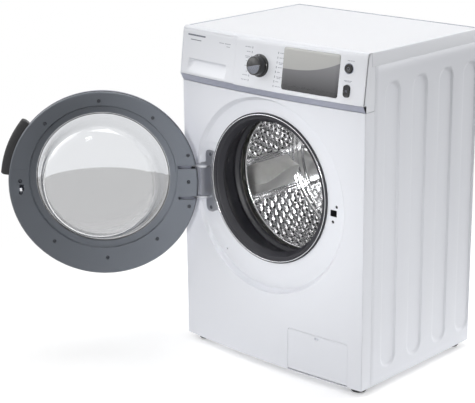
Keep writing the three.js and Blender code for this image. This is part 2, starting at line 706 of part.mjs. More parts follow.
function filterCap() {
  return join(
    rodY(30, [16, 22], FILTER.x, FILTER.z, 28),
    rodY(24, [21, 38], FILTER.x, FILTER.z, 24),
    box([FILTER.x - 24, FILTER.x + 24], [6, 17], [FILTER.z - 5, FILTER.z + 5]),
  );
}

function drainPump() {
  return join(
    cut(rodY(34, [24, 96], FILTER.x, FILTER.z, 28), rodY(25, [20, 60], FILTER.x, FILTER.z, 24)),
    rodY(26, [94, 150], FILTER.x, FILTER.z, 24),
  );
}

function filterFlap() {
  const [z0, z1] = [FLAP.z[0] + GAP, FLAP.z[1] - GAP];
  const plate = bowed([[0, z0], [0, z1], [SHEET, z1], [SHEET, z0]], [FLAP.x[0] + GAP, FLAP.x[1] - GAP], 6);
  return cut(plate, box([157, 169], [-20, 10], [118, 124]));
}

piece("heating_element", heatingElement(), LOOK.steel);
piece(
  "inlet_valve",
  join(box([152, 206], [392, 440], [766, 806]), rodY(12, [438, SIDE_DEPTH], 180, 786, 18)),
  LOOK.whitePlastic,
);
piece("drain_pump", drainPump(), LOOK.greyPlastic);
piece("pump_filter_cap", filterCap(), LOOK.greyPlastic);
piece("filter_flap", filterFlap(), LOOK.whitePlastic);
piece(
  "mains_cable_gland",
  join(rodY(12, [453.4, SIDE_DEPTH], -230, 780, 18), rodY(7, [438, 454], -230, 780, 18)),
  LOOK.blackPlastic,
);

export default machine;
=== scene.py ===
import json
import math

import bmesh
import bpy
import numpy as np
from mathutils import Matrix, Vector


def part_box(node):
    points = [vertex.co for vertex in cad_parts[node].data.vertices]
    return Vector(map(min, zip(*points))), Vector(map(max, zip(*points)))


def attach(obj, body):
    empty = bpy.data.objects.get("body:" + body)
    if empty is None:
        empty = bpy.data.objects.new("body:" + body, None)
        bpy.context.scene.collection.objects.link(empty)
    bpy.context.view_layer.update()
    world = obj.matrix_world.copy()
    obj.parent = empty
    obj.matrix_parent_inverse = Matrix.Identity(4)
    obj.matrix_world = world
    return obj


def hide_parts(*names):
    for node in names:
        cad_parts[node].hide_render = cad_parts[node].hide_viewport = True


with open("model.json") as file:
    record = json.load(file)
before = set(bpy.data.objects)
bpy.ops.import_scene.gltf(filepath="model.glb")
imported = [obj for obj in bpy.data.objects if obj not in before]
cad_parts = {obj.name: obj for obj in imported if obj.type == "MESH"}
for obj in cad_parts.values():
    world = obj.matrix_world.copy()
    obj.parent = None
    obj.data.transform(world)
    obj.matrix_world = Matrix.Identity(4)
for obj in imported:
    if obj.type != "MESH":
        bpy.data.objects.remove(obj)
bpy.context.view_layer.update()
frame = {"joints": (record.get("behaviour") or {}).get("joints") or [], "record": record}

# Shapes are drawn in millimetres as x, depth behind the front corners, and height.
MM = 0.001
FRONT = -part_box("worktop")[1].y
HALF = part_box("worktop")[1].x / MM
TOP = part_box("worktop")[1].z / MM
BOW = 15.0  # how far the front bulges forward at its middle
PANEL_BOTTOM = 17.0
PANEL_TOP = 711.0
STRIP_TOP = 729.0
SKIRT_BOTTOM = 817.0
DRAWER_SEAM = -98.0
DRUM_LOW, DRUM_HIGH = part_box("drum_shell")
AXIS_X = (DRUM_LOW.x + DRUM_HIGH.x) / 2 / MM
AXIS_Z = (DRUM_LOW.z + DRUM_HIGH.z) / 2 / MM
DISC_Z = sum(corner.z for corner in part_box("hinge_bracket")) / 2 / MM  # middle of the round door
PORT_RADIUS = 186.0
DISH_FLOOR = 3.0
ARM_RISE = 41.0
LATCH = (203.0, 452.0)
SWING = next(j for j in frame["joints"] if j["name"] == "door_swing")
PIN = Vector(SWING["pos_m"])
OPENED = (
    Matrix.Translation(PIN)
    @ Matrix.Rotation(-math.radians(SWING["range_deg"][1]), 4, "Z")
    @ Matrix.Translation(-PIN)
)

# ---- camera ---------------------------------------------------------------------------------
CAMERA_AT = Vector((2.2885, -2.5343 + FRONT, 1.4750))
AZIMUTH, PITCH, ROLL = (math.radians(a) for a in (43.42, 16.82, -0.65))
LENS = 108.8

back = Vector((
    math.sin(AZIMUTH) * math.cos(PITCH), -math.cos(AZIMUTH) * math.cos(PITCH), math.sin(PITCH)
))
level_right = (-back).cross(Vector((0, 0, 1))).normalized()
level_up = level_right.cross(-back)
right = level_right * math.cos(ROLL) + level_up * math.sin(ROLL)
up = level_up * math.cos(ROLL) - level_right * math.sin(ROLL)
camera = bpy.data.objects.new("camera", bpy.data.cameras.new("camera"))
camera.data.lens = LENS
camera.data.sensor_width = 36
camera.data.clip_end = 60
camera.matrix_world = Matrix.Translation(CAMERA_AT) @ Matrix((right, up, back)).transposed().to_4x4()
bpy.context.scene.collection.objects.link(camera)
bpy.context.scene.camera = camera
bpy.context.scene.view_settings.view_transform = "Standard"


# ---- materials ------------------------------------------------------------------------------
class Paint:
    """A node material: a base colour that drifts a little, roughness that varies, and fine relief."""

    def __init__(self, name, colour, roughness, metallic=0.0, drift=0.03, drift_scale=3.0,
                 grain=400.0, relief=0.05, rough_spread=0.06, **sockets):
        self.material = bpy.data.materials.new(name)
        self.material.use_nodes = True
        self.tree = self.material.node_tree
        self.shader = self.tree.nodes["Principled BSDF"]
        self.shader.inputs["Metallic"].default_value = metallic
        for socket, value in sockets.items():
            self.shader.inputs[socket.replace("_", " ").title().replace("Ior", "IOR")].default_value = value
        self.place = self.node("ShaderNodeTexCoord").outputs["Object"]
        broad = self.noise(drift_scale, 3)
        fine = self.noise(grain, 2)
        dark = [c * (1 - drift) for c in colour] + [1]
        light = [min(1, c * (1 + drift)) for c in colour] + [1]
        self.colour = self.mix(broad, dark, light)
        self.link(self.colour, self.shader.inputs["Base Color"])
        rough = self.remap(fine, roughness - rough_spread, roughness + rough_spread)
        self.link(rough, self.shader.inputs["Roughness"])
        if relief:
            bump = self.node("ShaderNodeBump")
            bump.inputs["Strength"].default_value = relief
            bump.inputs["Distance"].default_value = 0.001
            self.link(fine, bump.inputs["Height"])
            self.link(bump.outputs["Normal"], self.shader.inputs["Normal"])

    def node(self, kind):
        return self.tree.nodes.new(kind)

    def link(self, a, b):
        self.tree.links.new(a, b)

    def noise(self, scale, detail):
        texture = self.node("ShaderNodeTexNoise")
        texture.inputs["Scale"].default_value = scale
        texture.inputs["Detail"].default_value = detail
        self.link(self.place, texture.inputs["Vector"])
        return texture.outputs["Fac"]

    def remap(self, value, low, high, from_low=0.3, from_high=0.7):
        node = self.node("ShaderNodeMapRange")
        for socket, number in (
            ("From Min", from_low), ("From Max", from_high), ("To Min", low), ("To Max", high)
        ):
            node.inputs[socket].default_value = number
        self.link(value, node.inputs["Value"])
        return node.outputs["Result"]

    def mix(self, share, a, b):
        node = self.node("ShaderNodeMix")
        node.data_type = "RGBA"
        for socket, value in ((node.inputs["Factor"], share), (node.inputs["A"], a), (node.inputs["B"], b)):
            if socket.type == "VALUE" and socket.name == "Factor" and isinstance(value, (int, float)):
                socket.default_value = value
            elif isinstance(value, (list, tuple)):
                node.inputs[6 if socket.name == "A" else 7].default_value = value
            elif socket.name == "Factor":
                self.link(value, node.inputs[0])
            else:
                self.link(value, node.inputs[6 if socket.name == "A" else 7])
        return node.outputs[2]

    def maths(self, operation, a, b=None, c=None):
        node = self.node("ShaderNodeMath")
        node.operation = operation
        for socket, value in zip(node.inputs, (a, b, c)):
            if value is None:
                continue
            if isinstance(value, (int, float)):
                socket.default_value = value
            else:
                self.link(value, socket)
        return node.outputs[0]

    def axis(self, letter):
        node = self.node("ShaderNodeSeparateXYZ")
        self.link(self.place, node.inputs[0])
        return node.outputs[letter]

    def recolour(self, share, colour):
        """Lays a second colour over the first by share."""
        self.colour = self.mix(share, self.colour, list(colour) + [1])
        self.link(self.colour, self.shader.inputs["Base Color"])


WHITE = (0.80, 0.815, 0.86)
enamel = Paint("painted_steel", WHITE, 0.40, drift=0.01, grain=700, relief=0.05, specular_ior_level=0.3)
white_plastic = Paint("white_moulded_plastic", (0.80, 0.815, 0.855), 0.36, drift=0.01, grain=900, relief=0.07)
top_board = Paint("worktop_laminate", (0.80, 0.81, 0.84), 0.42, drift=0.012, grain=1200, relief=0.10)
# Painted shade: the darker grey laid on the inner wall of the worktop's raised rim.
rim_wall_painted_shade = Paint("worktop_rim_wall_painted_shade", (0.42, 0.44, 0.50), 0.45, grain=900)
silver = Paint("silver_plastic", (0.37, 0.385, 0.47), 0.42, metallic=0.15, drift=0.02, grain=1400,
               relief=0.06)
door_grey = Paint("door_grey_plastic", (0.20, 0.22, 0.255), 0.34, drift=0.05, drift_scale=5, grain=1100,
                  relief=0.09)
handle_black = Paint("handle_black_plastic", (0.013, 0.013, 0.015), 0.38, drift=0.2, grain=900, relief=0.1)
black_gloss = Paint("black_gloss_plastic", (0.010, 0.010, 0.012), 0.14, drift=0.2, grain=500, relief=0.02,
                    rough_spread=0.03)
black_matt = Paint("black_plastic", (0.014, 0.014, 0.016), 0.5, drift=0.2, grain=900, relief=0.12)
mark_grey = Paint("printed_mark_grey", (0.16, 0.17, 0.21), 0.5, drift=0.1, grain=1500)
mark_pale = Paint("printed_label_pale", (0.42, 0.43, 0.48), 0.5, drift=0.1, grain=1500)
rubber = Paint("door_seal_rubber", (0.010, 0.010, 0.015), 0.5, drift=0.12, drift_scale=14, grain=900,
               relief=0.12, rough_spread=0.08)
steel_wire = Paint("bright_steel_wire", (0.80, 0.81, 0.83), 0.16, metallic=1.0, drift=0.03, grain=900,
                   relief=0.05)
zinc = Paint("zinc_plated_steel", (0.45, 0.46, 0.49), 0.36, metallic=1.0, drift=0.14, drift_scale=30,
             grain=600, relief=0.12)
screw_steel = Paint("dark_screw_steel", (0.10, 0.105, 0.12), 0.35, metallic=0.9, drift=0.15, grain=800)
lifter_grey = Paint("lifter_plastic", (0.56, 0.56, 0.55), 0.36, drift=0.10, drift_scale=60, grain=500,
                    relief=0.25, rough_spread=0.1)
cast_iron = Paint("cast_iron", (0.13, 0.13, 0.125), 0.85, drift=0.2, drift_scale=20, grain=300, relief=0.5)
tub_plastic = Paint("tub_plastic", (0.60, 0.60, 0.57), 0.55, drift=0.05, grain=700, relief=0.1)
board_green = Paint("circuit_board", (0.03, 0.15, 0.05), 0.5, drift=0.2, drift_scale=60, grain=600,
                    relief=0.2)
tray_white = Paint("tray_plastic", (0.76, 0.775, 0.81), 0.4, drift=0.02, grain=800, relief=0.08)
grey_cap = Paint("grey_moulded_plastic", (0.17, 0.19, 0.22), 0.42, drift=0.08, grain=800, relief=0.1)
belt_rubber = Paint("belt_rubber", (0.02, 0.02, 0.02), 0.7, drift=0.2, grain=500, relief=0.2)

glass = Paint("door_bowl_glass", (0.93, 0.935, 0.94), 0.02, drift=0.01, relief=0, rough_spread=0.01,
              transmission_weight=1.0, ior=1.47)


def smoothstep(a, b, t):
    t = np.clip((t - a) / (b - a), 0, 1)
    return t * t * (3 - 2 * t)


drum_steel = Paint("drum_stainless", (0.92, 0.92, 0.93), 0.13, metallic=1.0, drift=0.05, drift_scale=25,
                   grain=260, relief=0.05, rough_spread=0.05)

# The outer window is painted a darker grey in its lower half, below a slightly arched line.
WINDOW_GREY_TOP, WINDOW_GREY_ARC = 0.492, 0.6
window = Paint("door_outer_window_glass", (0.79, 0.80, 0.82), 0.03, drift=0.005, relief=0, rough_spread=0.02,
               transmission_weight=1.0, ior=1.3)
arch = window.node("ShaderNodeVectorMath")
arch.operation = "DISTANCE"
window.link(window.place, arch.inputs[0])
arch.inputs[1].default_value = OPENED @ Vector((AXIS_X * MM, FRONT - 38 * MM, WINDOW_GREY_TOP - WINDOW_GREY_ARC))
grey_below_arch = window.remap(arch.outputs["Value"], 1, 0, WINDOW_GREY_ARC - MM, WINDOW_GREY_ARC + MM)
window.recolour(grey_below_arch, (0.50, 0.50, 0.505))


# ---- mesh helpers ---------------------------------------------------------------------------
def bow(x):
    return -BOW * (1 - (x / HALF) ** 2)


LEAN = (5.9 + 9.5) / (843.4 - STRIP_TOP)


def leaning(z):
    """Depth of the fascia's leaning face at a height, before the bow is added."""
    return -9.5 + (z - STRIP_TOP) * LEAN


def metres(points):
    p = np.asarray(points, float).reshape(-1, 3) * MM
    p[:, 1] += FRONT
    return p


def raw_object(name, points, faces, paints=(), face_slots=None):
    """An object from points in millimetres, in its drawn place and still to be finished."""
    mesh = bpy.data.meshes.new(name)
    mesh.from_pydata(metres(points).tolist(), [], faces)
    for paint in paints if isinstance(paints, (list, tuple)) else [paints]:
        mesh.materials.append(paint.material)
    if face_slots is not None:
        mesh.polygons.foreach_set("material_index", np.asarray(face_slots, np.int32))
    tidy(mesh)
    obj = bpy.data.objects.new(name, mesh)
    bpy.context.scene.collection.objects.link(obj)
    return obj


def mesh_object(name, points, faces, paints, body, slot, swung=False, sharp=32, face_slots=None, replaces=(),
                bevel=0):
    """One finished piece. A swung piece is drawn on the closed door and opened with it."""
    obj = raw_object(name, points, faces, paints, face_slots)
    finish_piece(obj, body, swung, sharp, replaces)
    return bevelled(obj, bevel) if bevel else obj


def tidy(mesh):
    """Welds points that meet, drops faces without area and turns every face outwards."""
    bm = bmesh.new()
    bm.from_mesh(mesh)
    bmesh.ops.remove_doubles(bm, verts=bm.verts, dist=1e-6)
    bmesh.ops.dissolve_degenerate(bm, edges=bm.edges, dist=1e-7)
    bmesh.ops.recalc_face_normals(bm, faces=bm.faces)
    bm.to_mesh(mesh)
    bm.free()


def smooth(mesh, sharp):
    mesh.polygons.foreach_set("use_smooth", np.ones(len(mesh.polygons), bool))
    mesh.set_sharp_from_angle(angle=math.radians(sharp))
    mesh.update()


def finish_piece(obj, body, swung=False, sharp=32, replaces=()):
    """Opens a swung piece with the door, shades it, and says what it rides on and replaces."""
    if swung:
        obj.data.transform(OPENED)
    smooth(obj.data, sharp)
    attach(obj, body)
    if replaces:
        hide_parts(*replaces)


def fillet(profile, radii, steps=4):
    """A closed polygon with its corners rounded; radii is one number or one for each corner."""
    n = len(profile)
    radii = [radii] * n if isinstance(radii, (int, float)) else list(radii)
    out = []
    for i, corner in enumerate(profile):
        here, before, after = (np.array(p, float) for p in (corner, profile[i - 1], profile[(i + 1) % n]))
        r = radii[i]
        if r <= 0:
            out.append(tuple(here))
            continue
        a, b = before - here, after - here
        la, lb = np.linalg.norm(a), np.linalg.norm(b)
        start = here + a / la * min(r, la * 0.48)
        end = here + b / lb * min(r, lb * 0.48)
        for k in range(steps + 1):
            t = k / steps
            out.append(tuple((1 - t) ** 2 * start + 2 * t * (1 - t) * here + t * t * end))
    return out


def spline(points, steps=6):
    """A Catmull-Rom curve through the points."""
    p = np.asarray(points, float)
    last = len(p) - 1
    out = []
    for i in range(last):
        a, b, c, d = (p[min(max(i + k, 0), last)] for k in (-1, 0, 1, 2))
        for k in range(steps):
            t = k / steps
            out.append(0.5 * (2 * b + (c - a) * t + (2 * a - 5 * b + 4 * c - d) * t**2
                              + (3 * b - a - 3 * c + d) * t**3))
    return [tuple(q) for q in out + [p[-1]]]


def grid_faces(rows, columns, wrap_rows=False, wrap_columns=False):
    faces = []
    for i in range(rows if wrap_rows else rows - 1):
        for j in range(columns if wrap_columns else columns - 1):
            k, m = (i + 1) % rows, (j + 1) % columns
            faces.append((i * columns + j, i * columns + m, k * columns + m, k * columns + j))
    return faces


def tube_faces(layers, count):
    """Faces between closed loops of count points, with a cap on the first and the last."""
    ends = [tuple(range(count)), tuple(reversed(range(count * (layers - 1), count * layers)))]
    return grid_faces(layers, count, wrap_columns=True) + ends


def turned(profile, segments=144, x=None, z=None):
    """Points and faces of (radius, depth) pairs turned about a line along Y.

    A third value in a pair is the height its own circle is centred on."""
    x, z = AXIS_X if x is None else x, AXIS_Z if z is None else z
    angles = np.radians(np.linspace(0, 360, segments, endpoint=False))
    r, d, middle = np.array([(*p, z)[:3] for p in profile], float).T
    points = np.stack([
        x + np.outer(np.cos(angles), r), np.tile(d, (segments, 1)), middle + np.outer(np.sin(angles), r)
    ], -1).reshape(-1, 3)
    return points, grid_faces(segments, len(profile), wrap_rows=True, wrap_columns=True)


def centred(profile, radii):
    """Rounds a (radius, depth, middle) profile; each new point keeps the middle of its corner."""
    points = fillet([(r, d) for r, d, _ in profile], radii, 5)
    return [(r, d, min(profile, key=lambda p: math.dist(p[:2], (r, d)))[2]) for r, d in points]


def turned_upright(profile, segments, x, depth):
    """(radius, height) pairs turned about an upright line."""
    angles = np.linspace(0, 2 * math.pi, segments, endpoint=False)
    r, h = np.array(profile, float).T
    points = np.stack([
        x + np.outer(np.cos(angles), r), depth + np.outer(np.sin(angles), r), np.tile(h, (segments, 1))
    ], -1).reshape(-1, 3)
    return points, grid_faces(segments, len(profile), wrap_rows=True)


def swept(profile, xs, straight_from=1e9):
    """A closed (depth, height) profile run along X, bent to the bow of the front."""
    rows = [(x, d + (bow(x) if d < straight_from else 0), h) for x in xs for d, h in profile]
    return np.array(rows), tube_faces(len(xs), len(profile))


def closed_sheet(face, behind):
    """Two grids of points joined round their borders into one closed shape."""
    rows, columns = face.shape[:2]
    count = rows * columns
    faces = grid_faces(rows, columns)
    faces += [tuple(i + count for i in reversed(f)) for f in faces]
    loop = [*range(columns), *[q * columns + columns - 1 for q in range(1, rows)],
            *[(rows - 1) * columns + c for c in range(columns - 2, -1, -1)],
            *[q * columns for q in range(rows - 2, 0, -1)]]
    faces += [(a, b, b + count, a + count) for a, b in zip(loop, loop[1:] + loop[:1])]
    return np.concatenate([face.reshape(-1, 3), behind.reshape(-1, 3)]), faces


def polar(radius, depth, angle, z=None):
    """Points at a radius and an angle about the drum's axis, or about one at height z."""
    x, h = AXIS_X + radius * np.cos(angle), (AXIS_Z if z is None else z) + radius * np.sin(angle)
    return np.stack([x, np.broadcast_to(depth, x.shape), h], -1)


def merged(*parts):
    """Several (points, faces) pairs as one."""
    points, faces = [], []
    for p, f in parts:
        base = sum(len(q) for q in points)
        points.append(np.asarray(p, float).reshape(-1, 3))
        faces += [tuple(i + base for i in face) for face in f]
    return np.concatenate(points), faces


def block(x, d, z):
    """A plain box as points and faces, to be bevelled or used as a cutter."""
    points = [(a, b, c) for a in x for b in d for c in z]
    faces = [(0, 1, 3, 2), (4, 6, 7, 5), (0, 4, 5, 1), (2, 3, 7, 6), (0, 2, 6, 4), (1, 5, 7, 3)]
    return np.array(points, float), faces


def prism(outline, depths, place=lambda a, b, d: (a, d, b)):
    """An outline of (a, b) pairs carried from one depth to another."""
    n = len(outline)
    points = [place(a, b, d) for d in depths for a, b in outline]
    faces = [tuple(range(n)), tuple(reversed(range(n, 2 * n)))]
    faces += [(i, (i + 1) % n, n + (i + 1) % n, n + i) for i in range(n)]
    return np.array(points, float), faces


def upright(a, b, height):
    """Where prism puts the points of an outline drawn as (x, depth)."""
    return a, b, height


def rounded(cx, cz, width, height, radius, steps=6):
    w, h = width / 2, height / 2
    return fillet([(cx - w, cz - h), (cx + w, cz - h), (cx + w, cz + h), (cx - w, cz + h)], radius, steps)


def bevelled(obj, width, segments=3, angle=30):
    modifier = obj.modifiers.new("edge", "BEVEL")
    modifier.width = width * MM
    modifier.segments = segments
    modifier.limit_method = "ANGLE"
    modifier.angle_limit = math.radians(angle)
    modifier.harden_normals = False
    return obj


def applied(obj):
    """Turns an object's modifiers into mesh."""
    made = bpy.data.meshes.new_from_object(obj.evaluated_get(bpy.context.evaluated_depsgraph_get()))
    obj.modifiers.clear()
    obj.data = made
    return obj


def carved(obj, *cutters):
    """Cuts closed shapes out of an object that stands in its drawn place."""
    points, faces = merged(*cutters)
    tool = raw_object("cutter", points, faces)
    modifier = obj.modifiers.new("cut", "BOOLEAN")
    modifier.object = tool
    modifier.solver = "EXACT"
    bpy.context.view_layer.update()
    applied(obj)
    bpy.data.objects.remove(tool)
    return obj


# ---- cabinet --------------------------------------------------------------------------------
def panel_depth(x, z):
    """The front panel's outer face: bowed, with a round dish whose floor takes the door."""
    r = np.hypot(x - AXIS_X, z - DISC_Z)
    rise = smoothstep(239.5, 250.5, r)
    depth = DISH_FLOOR * (1 - rise) + bow(x) * rise
    # a shallow pocket in the floor takes the hinge plate
    pocket = smoothstep(-92, -100, x) * smoothstep(239, 233, r)
    upper = 551 + 7 * np.tanh((x + 226) / 7)
    pocket = pocket * smoothstep(upper + 2.5, upper - 2.5, z) * smoothstep(330, 345, z - 0.25 * (x + 200))
    crescent = smoothstep(212, 209, r) * smoothstep(312, 316, z - 0.5 * (x + 120))
    crescent = crescent * smoothstep(350, 340, z) * smoothstep(-60, -72, x)
    return depth + 1.6 * pocket + 1.2 * crescent


def front_panel():
    """The front sheet: rays from the port's edge over the dish to the border, then folded and thickened."""
    reach = HALF - 3
    corners = [math.atan2(z - AXIS_Z, x - AXIS_X) for x in (-reach, reach) for z in (PANEL_BOTTOM, PANEL_TOP)]
    angles = np.sort(np.concatenate([np.linspace(-math.pi, math.pi, 320, endpoint=False), corners]))
    across = np.array([0, 0.03, 0.09, 0.17, 0.26, 0.35, 0.44, 0.53, 0.63, 0.75, 0.88])
    dish_edge = np.linspace(238, 251, 16)
    offset = AXIS_Z - DISC_Z
    rows = []
    outer_steps = np.linspace(0, 1, 11)[1:]
    for a in angles:
        c, s = math.cos(a), math.sin(a)
        limits = [((reach if c > 0 else -reach) - AXIS_X) / c if abs(c) > 1e-9 else 1e9,
                  ((PANEL_TOP if s > 0 else PANEL_BOTTOM) - AXIS_Z) / s if abs(s) > 1e-9 else 1e9]
        edge = min(limits)
        dish = np.sqrt(dish_edge**2 - (offset * c) ** 2) - offset * s
        radii = np.concatenate([
            PORT_RADIUS + (dish[0] - PORT_RADIUS) * across, dish, dish[-1] + (edge - dish[-1]) * outer_steps
        ])
        x, z = AXIS_X + radii * c, AXIS_Z + radii * s
        rows.append(np.stack([x, panel_depth(x, z), z], -1))
    rows = np.array(rows)
    n = rows.shape[1]
    parts = [(rows.reshape(-1, 3), grid_faces(len(angles), n, wrap_rows=True))]
    # the port's edge turns in
    rim = [polar(r, d, angles) for r, d in ((PORT_RADIUS, DISH_FLOOR), (185.4, 3.6), (185.2, 6))]
    parts.append((np.concatenate(rim), grid_faces(3, len(angles), wrap_columns=True)))
    border = rows[:, -1]
    for side in (-1, 1):
        column = border[np.abs(border[:, 0] - side * reach) < 1e-6]
        column = column[np.argsort(column[:, 2])]
        arc = [(reach + 3 * math.sin(t), 3 - 3 * math.cos(t)) for t in np.linspace(0, math.pi / 2, 7)]
        start = column[0, 1]
        line = [(side * x, start + d * (3 - start) / 3 if d < 3 else d) for x, d in arc]
        line += [(side * HALF, 20), (side * HALF, 34)]
        strip = np.array([[(x, d, z) for z in column[:, 2]] for x, d in line])
        parts.append((strip.reshape(-1, 3), grid_faces(len(line), len(column))))
    for z in (PANEL_TOP, PANEL_BOTTOM):
        row = border[np.abs(border[:, 2] - z) < 1e-6]
        row = row[np.argsort(row[:, 0])]
        lip = np.array([row + (0, 0, 0), row + (0, 1, 0), row + (0, 14, 0)])
        parts.append((lip.reshape(-1, 3), grid_faces(3, len(row))))
    obj = raw_object("front_panel_skin", *merged(*parts), enamel)
    if sum(p.normal.y for p in obj.data.polygons) > 0:
        obj.data.flip_normals()
    thick = obj.modifiers.new("sheet", "SOLIDIFY")
    thick.thickness = 1.6 * MM
    thick.offset = -1
    applied(obj)
    hole = lambda x, z, r: turned([(0.01, -6), (r, -6), (r, 14), (0.01, 14)], 28, x, z)
    latch_slot = block((LATCH[0] - 10, LATCH[0] + 10), (-6, 14), (LATCH[1] - 8.5, LATCH[1] + 8))
    flap_opening = fillet([(71.6, 19.6), (256.4, 19.6), (256.4, 130.4), (71.6, 130.4)], [0.1, 0.1, 9, 9])
    carved(obj, latch_slot, hole(212, 469, 4), hole(201, 430, 4), hole(-150, 285, 2.2),
           prism(flap_opening, (-40, 11)))
    finish_piece(obj, "cabinet", sharp=38, replaces=["front_panel"])


def side_panel(side, name, node):
    """A side sheet with four tall round-ended panels pressed in, and soft outer edges."""
    centres = [103.5, 210.5, 316.5, 419]
    half_width, half_height, wall, pressed = 30.5, 361.5, 7.5, 4.0
    middle = 411.5
    near = sorted({round(float(c + s * e), 3) for c in centres for s in (-1, 1)
                   for e in np.linspace(half_width - wall - 1, half_width + 0.5, 8)})
    low, high = 34.4, 450.7
    depths = np.array(sorted({low, low + 0.8, high, high - 0.8, 50, 63, *centres,
                              *[c + s * e for c in centres for s in (-1, 1) for e in (8, 16)], *near}))
    depths = depths[(depths >= low) & (depths <= high)]
    bends = [z for s in (-1, 1) for z in (middle + s * half_height + np.linspace(-34, 1, 24))] + \
            [middle - half_height + e for e in np.linspace(-1, 34, 24)]
    heights = np.array(sorted({17.0, 17.8, *np.linspace(17, SKIRT_BOTTOM - 0.4, 40), SKIRT_BOTTOM - 1.2,
                               *[b for b in bends if 20 < b < 812]}))
    d, z = np.meshgrid(depths, heights, indexing="ij")
    sunk = np.zeros_like(d)
    for c in centres:
        to_line = np.hypot(d - c, np.maximum(np.abs(z - middle) - (half_height - half_width), 0))
        sunk = np.maximum(sunk, smoothstep(half_width, half_width - wall, to_line))
    edge = np.maximum(np.maximum(low + 0.8 - d, d - high + 0.8),
                      np.maximum(17.8 - z, z - (SKIRT_BOTTOM - 1.2)))
    x = side * (HALF - pressed * sunk - np.clip(edge, 0, 1) * 0.6)
    outer = np.stack([x, d, z], -1)
    inner = outer.copy()
    inner[..., 0] -= side * 1.4
    mesh_object(name, *closed_sheet(outer, inner), enamel, "cabinet", "enamel", replaces=[node], sharp=50)


def worktop():
    """A plastic frame with a raised rim, and the slightly crowned board inside it."""
    front, rear = 22.0, 455.0
    rim, sunk = 4.0, 1.8

    def loop(x0, x1, d0, d1, z, radius):
        return [(x, d, z) for x, d in fillet([(x0, d0), (x1, d0), (x1, d1), (x0, d1)], radius, 5)]

    layers = [
        loop(-HALF + 3, HALF - 3, front + 1, rear - 3, SKIRT_BOTTOM, 3),
        loop(-HALF, HALF, front, rear, SKIRT_BOTTOM, 4),
        loop(-HALF, HALF, front, rear, TOP - 3, 4),
        loop(-HALF + 0.3, HALF - 0.3, front, rear - 0.3, TOP - 1.6, 4),
        loop(-HALF + 1, HALF - 1, front, rear - 1, TOP - 0.5, 4),
        loop(-HALF + 2, HALF - 2, front, rear - 2, TOP, 4),
        loop(-HALF + rim, HALF - rim, front, rear - rim, TOP, 3),
        loop(-HALF + rim + 0.5, HALF - rim - 0.5, front, rear - rim - 0.5, TOP - 0.4, 3),
        loop(-HALF + rim + 0.9, HALF - rim - 0.9, front, rear - rim - 0.9, TOP - sunk, 3),
    ]
    n = len(layers[0])
    # the two bands on the rim's inner wall are painted a darker grey as painted shade
    paint_of = [0] * 6 * n + [1] * 2 * n + [0, 0]
    mesh_object("worktop_frame", np.array(layers).reshape(-1, 3), tube_faces(len(layers), n),
                [white_plastic, rim_wall_painted_shade], "cabinet", "white_plastic", face_slots=paint_of,
                replaces=["worktop"], sharp=40)
    inside = loop(-HALF + rim + 1.2, HALF - rim - 1.2, front + 1.5, rear - rim - 1.2, 0, 3)
    board = [[(x, d, z) for x, d, _ in inside] for z in (TOP - sunk - 3, TOP - sunk + 0.1)]
    crown = [[(x * (1 - k / 400), front + 1.5 + (d - front - 1.5) * (1 - k / 400),
               TOP - sunk + 0.1 + 0.12 * k)
              for x, d, _ in inside] for k in (1, 2)]
    stack = board + crown
    mesh_object("worktop_board", np.array(stack).reshape(-1, 3), tube_faces(len(stack), n), top_board,
                "cabinet", "white_plastic", sharp=40)


def rear_side():
    """The back sheet, pressed with shallow ribs, and the round cover over the drive belt."""
    half = HALF - 4
    back, cover_z, cover_screws = 453.0, 440, 140
    xs = np.linspace(-half, half, 149)
    zs = np.linspace(17, SKIRT_BOTTOM - 0.4, 201)
    x, z = np.meshgrid(xs, zs, indexing="ij")
    r = np.hypot(x - AXIS_X, z - cover_z)
    ribs = np.zeros_like(x)
    for cx in (-245, 245):
        to_line = np.hypot(x - cx, np.maximum(np.abs(z - 395) - 305, 0))
        ribs = np.maximum(ribs, smoothstep(14, 8, to_line))
    ribs = np.maximum(ribs, smoothstep(186, 182, r) * smoothstep(170, 174, r))
    depth = back - 2.2 * ribs
    outer = np.stack([x, depth, z], -1)
    inner = outer.copy()
    inner[..., 1] -= 1.2
    obj = raw_object("rear_sheet", *closed_sheet(outer, inner), enamel)
    hole = lambda hx, hz, hr: turned([(0.01, 440), (hr, 440), (hr, 460), (0.01, 460)], 28, hx, hz)
    carved(obj, hole(180, 786, 13), hole(-230, 780, 8), hole(AXIS_X, cover_z, 150))
    finish_piece(obj, "cabinet", sharp=40, replaces=["rear_panel"])
    cover = fillet([(0.01, 454.7), (120, 454.7), (126, 453.9), (158, 453.9), (164.5, 454.9), (165, 453.4),
                    (150, 453.2), (0.01, 453.2)], 1.2, 3)
    mesh_object("rear_cover", *turned(cover, 96, AXIS_X, cover_z), enamel, "cabinet", "enamel",
                replaces=["rear_service_cover"])
    for i, a in enumerate((30, 90, 150, 210, 270, 330)):
        screw("rear_cover_screw_%d" % (i + 1), AXIS_X + cover_screws * math.cos(math.radians(a)), 453.9,
              cover_z + cover_screws * math.sin(math.radians(a)), 4.2, towards=1)
    for i, (px, pz) in enumerate(((-175, 640), (165, 640), (-190, 215), (180, 215))):
        plug = fillet([(0.01, 454.6), (9, 454.6), (15, 453.8), (15.5, 452.2), (0.01, 452.2)], 0.8, 3)
        mesh_object("transit_hole_plug_%d" % (i + 1), *turned(plug, 40, px, pz), grey_cap, "cabinet",
                    "grey_plastic")
    for i, (px, pz) in enumerate(((-283, 780), (283, 780), (-283, 420), (283, 420), (-283, 40), (283, 40))):
        screw("rear_sheet_screw_%d" % (i + 1), px, back, pz, 4.2, towards=1)


